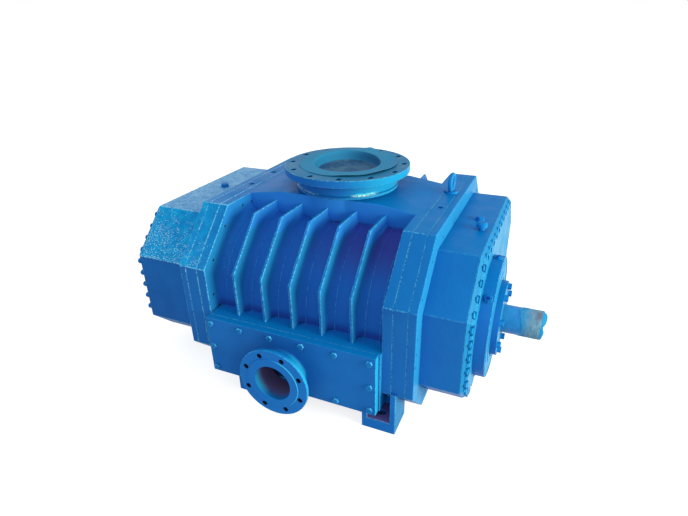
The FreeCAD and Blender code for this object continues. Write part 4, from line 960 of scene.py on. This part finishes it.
def flange_marks():
    """Tapped holes in the casing flange and small plugs in the box flange's rim, each drawn as a
    shallow disc of painted shade inside a raised rim.
    """
    tapped_r, plug_r = 4.6, 4.2
    rim_share = 1.35
    inner_face = [(-169, 581), (-225, 585), (-335, 549), (-419, 461), (-445, 346)]
    rim_face = [(-217, 572), (-338, 545), (-428, 471), (-458, 358), (-461, 308), (-464, 265)]
    both_ways = [(mirror, way) for mirror in (1, -1) for way in (1, -1)]
    spots = [(-way * FLANGE_INSIDE, mirror * y, z, way, tapped_r)
             for mirror, way in both_ways for y, z in inner_face]
    spots += [(way * BOX_SHELL, mirror * y, z, way, plug_r)
              for mirror, way in both_ways for y, z in rim_face]
    rims = bmesh.new()
    shade_discs = bmesh.new()
    for x, y, z, way, size in spots:
        at = Vector((CASING_X + x, y * MM, z * MM))
        place = Matrix.Translation(at) @ Matrix.Rotation(math.pi / 2 * way, 4, "Y")
        bmesh.ops.create_cone(
            shade_discs, cap_ends=True, segments=16, radius1=size * MM, radius2=size * 0.9 * MM,
            depth=0.8 * MM, matrix=place)
        rim = bmesh.ops.create_circle(
            rims, cap_ends=False, segments=16, radius=size * rim_share * MM, matrix=place)
        edges = list(dict.fromkeys(e for v in rim["verts"] for e in v.link_edges))
        lip = bmesh.ops.extrude_edge_only(rims, edges=edges)["geom"]
        for vert in [part for part in lip if isinstance(part, bmesh.types.BMVert)]:
            vert.co = at + (vert.co - at) / rim_share
            vert.co.x += way * 1.1 * MM
    finished(shade_discs, "tapped_hole_mouths", hole_shade, "stator")
    bmesh.ops.solidify(rims, geom=rims.faces[:], thickness=0.6 * MM)
    bmesh.ops.recalc_face_normals(rims, faces=rims.faces)
    finished(rims, "tapped_hole_rims", bolt_paint, "stator")


def disc_steps():
    """Fine turned steps on the shaft end cover's face."""
    for number, (inner, outer, high) in enumerate(((184, 190, 1.2), (128, 148, 1.6))):
        section = [(-1, inner), (-1, outer), (high * 0.6, outer), (high, outer - 1), (high, inner)]
        outline = [Vector((CASING_X + DISC_FACE + x * MM, r * MM - AXIS_Y, AXIS_Z))
                   for x, r in section]
        ring_sweep(f"end_disc_step_{number}", outline, (0, -AXIS_Y, AXIS_Z), (1, 0, 0), 96,
                   cover_paint, "cover_paint")


broken_edges("casing_casting", "casing", 2.5 * MM, 12 * MM)
broken_edges("gear_end_plate_casting", "gear_end_plate", 2 * MM, 12 * MM)
broken_edges("drive_end_plate_casting", "drive_end_plate", 2 * MM, 12 * MM)
broken_edges("gear_cover_casting", "gear_cover", 2.5 * MM, 12 * MM)
broken_edges("oil_box_casting", "oil_box", 2.5 * MM, 12 * MM)
broken_edges("gear_box_end_cover_bevelled", "gear_box_end_cover", 0.8 * MM, 9 * MM,
             tools=spot_face_cutters("gear_cover_bolts", GEAR_BOLT_SEAT, -1))
broken_edges("oil_box_end_cover_bevelled", "oil_box_end_cover", 0.8 * MM, 9 * MM,
             tools=spot_face_cutters("oil_box_bolts", OIL_BOLT_SEAT, 1))
broken_edges("shaft_end_cover_turned", "shaft_end_cover", 1.5 * MM, 9 * MM)
broken_edges("seal_housing_turned", "seal_housing", 1.2 * MM, 7 * MM)
broken_edges("front_port_cover_casting", "front_port_cover", 2 * MM, 7 * MM)
broken_edges("rear_port_cover_casting", "rear_port_cover", 2 * MM, 7 * MM)
broken_edges("mounting_feet_castings", "mounting_feet", 2.5 * MM, 12 * MM)
broken_edges("inlet_nozzle_welded", "inlet_nozzle", 1.5 * MM, 9 * MM)
broken_edges("discharge_flange_turned", "discharge_flange", 1.5 * MM, 9 * MM)
rib_roots()
broken_edges("port_cover_bolt_heads", "port_cover_bolts", 2.2 * MM, 5 * MM)
welds()
hole_shade_sleeves()
rim_plug_sockets()
lowered_heads("oil_box_cap_bolts", "oil_box_bolts", OIL_BOLT_SEAT, 1, 4.5 * MM, 7 * MM)
lowered_heads("gear_cover_cap_bolts", "gear_cover_bolts", GEAR_BOLT_SEAT, -1, 0, 7 * MM)
strainer()
taped_shaft_end()
flange_marks()
disc_steps()


# Floor, light and camera -----------------------------------------------------


def seen_share(tree):
    """One where a surface is looked at, straight, in a mirror or through glass."""
    path = tree.nodes.new("ShaderNodeLightPath")
    sight = path.outputs["Is Camera Ray"]
    for ray in ("Is Glossy Ray", "Is Transmission Ray"):
        either = tree.nodes.new("ShaderNodeMath")
        either.operation = "MAXIMUM"
        tree.links.new(sight, either.inputs[0])
        tree.links.new(path.outputs[ray], either.inputs[1])
        sight = either.outputs[0]
    return sight


def make_floor():
    """A wide pale floor just under the feet, lifted to white where it is looked at."""
    mesh = bmesh.new()
    bmesh.ops.create_grid(
        mesh, x_segments=1, y_segments=1, size=9, matrix=Matrix.Translation((0, 0, FLOOR_Z)))
    floor = placed(mesh, "studio_floor")
    pale = bpy.data.materials.new("studio_floor")
    pale.use_nodes = True
    tree = pale.node_tree
    tree.nodes.clear()
    out = tree.nodes.new("ShaderNodeOutputMaterial")
    matt = tree.nodes.new("ShaderNodeBsdfDiffuse")
    matt.inputs["Color"].default_value = (0.42, 0.43, 0.45, 1)
    glow = tree.nodes.new("ShaderNodeEmission")
    glow.inputs["Color"].default_value = (1, 1, 1, 1)
    lift = tree.nodes.new("ShaderNodeMath")
    lift.operation = "MULTIPLY"
    lift.inputs[1].default_value = 0.80
    both = tree.nodes.new("ShaderNodeAddShader")
    tree.links.new(seen_share(tree), lift.inputs[0])
    tree.links.new(lift.outputs[0], glow.inputs["Strength"])
    tree.links.new(matt.outputs[0], both.inputs[0])
    tree.links.new(glow.outputs[0], both.inputs[1])
    tree.links.new(both.outputs[0], out.inputs["Surface"])
    floor.data.materials.append(pale)


def make_world():
    """A soft sky that lights the pump, and a white one wherever it is looked at."""
    world = bpy.data.worlds.new("studio_world")
    world.use_nodes = True
    tree = world.node_tree
    sky = tree.nodes["Background"]
    sky.inputs["Color"].default_value = (0.90, 0.97, 0.96, 1)
    sky.inputs["Strength"].default_value = 0.80
    seen = tree.nodes.new("ShaderNodeBackground")
    seen.inputs["Color"].default_value = (1, 1, 1, 1)
    seen.inputs["Strength"].default_value = 1.0
    mix = tree.nodes.new("ShaderNodeMixShader")
    tree.links.new(seen_share(tree), mix.inputs[0])
    tree.links.new(sky.outputs[0], mix.inputs[1])
    tree.links.new(seen.outputs[0], mix.inputs[2])
    tree.links.new(mix.outputs[0], tree.nodes["World Output"].inputs["Surface"])
    bpy.context.scene.world = world


def soft_light(name, at, size, power, colour):
    """A rectangular lamp that looks at the middle of the pump."""
    pump_middle = Vector((0, 0, 350 * MM))
    lamp = bpy.data.lights.new(name, "AREA")
    lamp.shape = "RECTANGLE"
    lamp.size, lamp.size_y = size
    lamp.energy = power
    lamp.color = colour
    holder = bpy.data.objects.new(name, lamp)
    bpy.context.scene.collection.objects.link(holder)
    holder.location = at
    holder.rotation_euler = (pump_middle - Vector(at)).to_track_quat("-Z", "Y").to_euler()


def make_camera():
    """The camera that was fitted to the photograph."""
    side = math.radians(24.017)
    height = math.radians(26.570)
    roll = math.radians(-1.221)
    back = Vector((
        math.sin(side) * math.cos(height), -math.cos(side) * math.cos(height), math.sin(height)))
    right = Vector((math.cos(side), math.sin(side), 0))
    up = back.cross(right)
    turned_right = right * math.cos(roll) + up * math.sin(roll)
    turned_up = up * math.cos(roll) - right * math.sin(roll)
    lens = bpy.data.cameras.new("photo_camera")
    lens.lens = 26.006
    lens.shift_x = -0.0042
    lens.shift_y = 0.0035
    camera = bpy.data.objects.new("photo_camera", lens)
    bpy.context.scene.collection.objects.link(camera)
    camera.matrix_world = Matrix((turned_right, turned_up, back)).transposed().to_4x4()
    camera.location = (0.6237, -1.5747, 1.1796)
    bpy.context.scene.camera = camera


make_floor()
make_world()
soft_light("right_window", (3.0, -0.7, 1.1), (1.6, 1.4), 122, (1.0, 0.98, 0.70))
soft_light("sky_panel", (0.0, -0.9, 3.2), (2.4, 2.0), 12, (0.94, 0.98, 1.0))
soft_light("far_left_sky", (-2.8, 2.4, 2.4), (2.0, 1.4), 10, (0.92, 0.97, 1.0))
make_camera()
bpy.context.scene.view_settings.view_transform = "Standard"
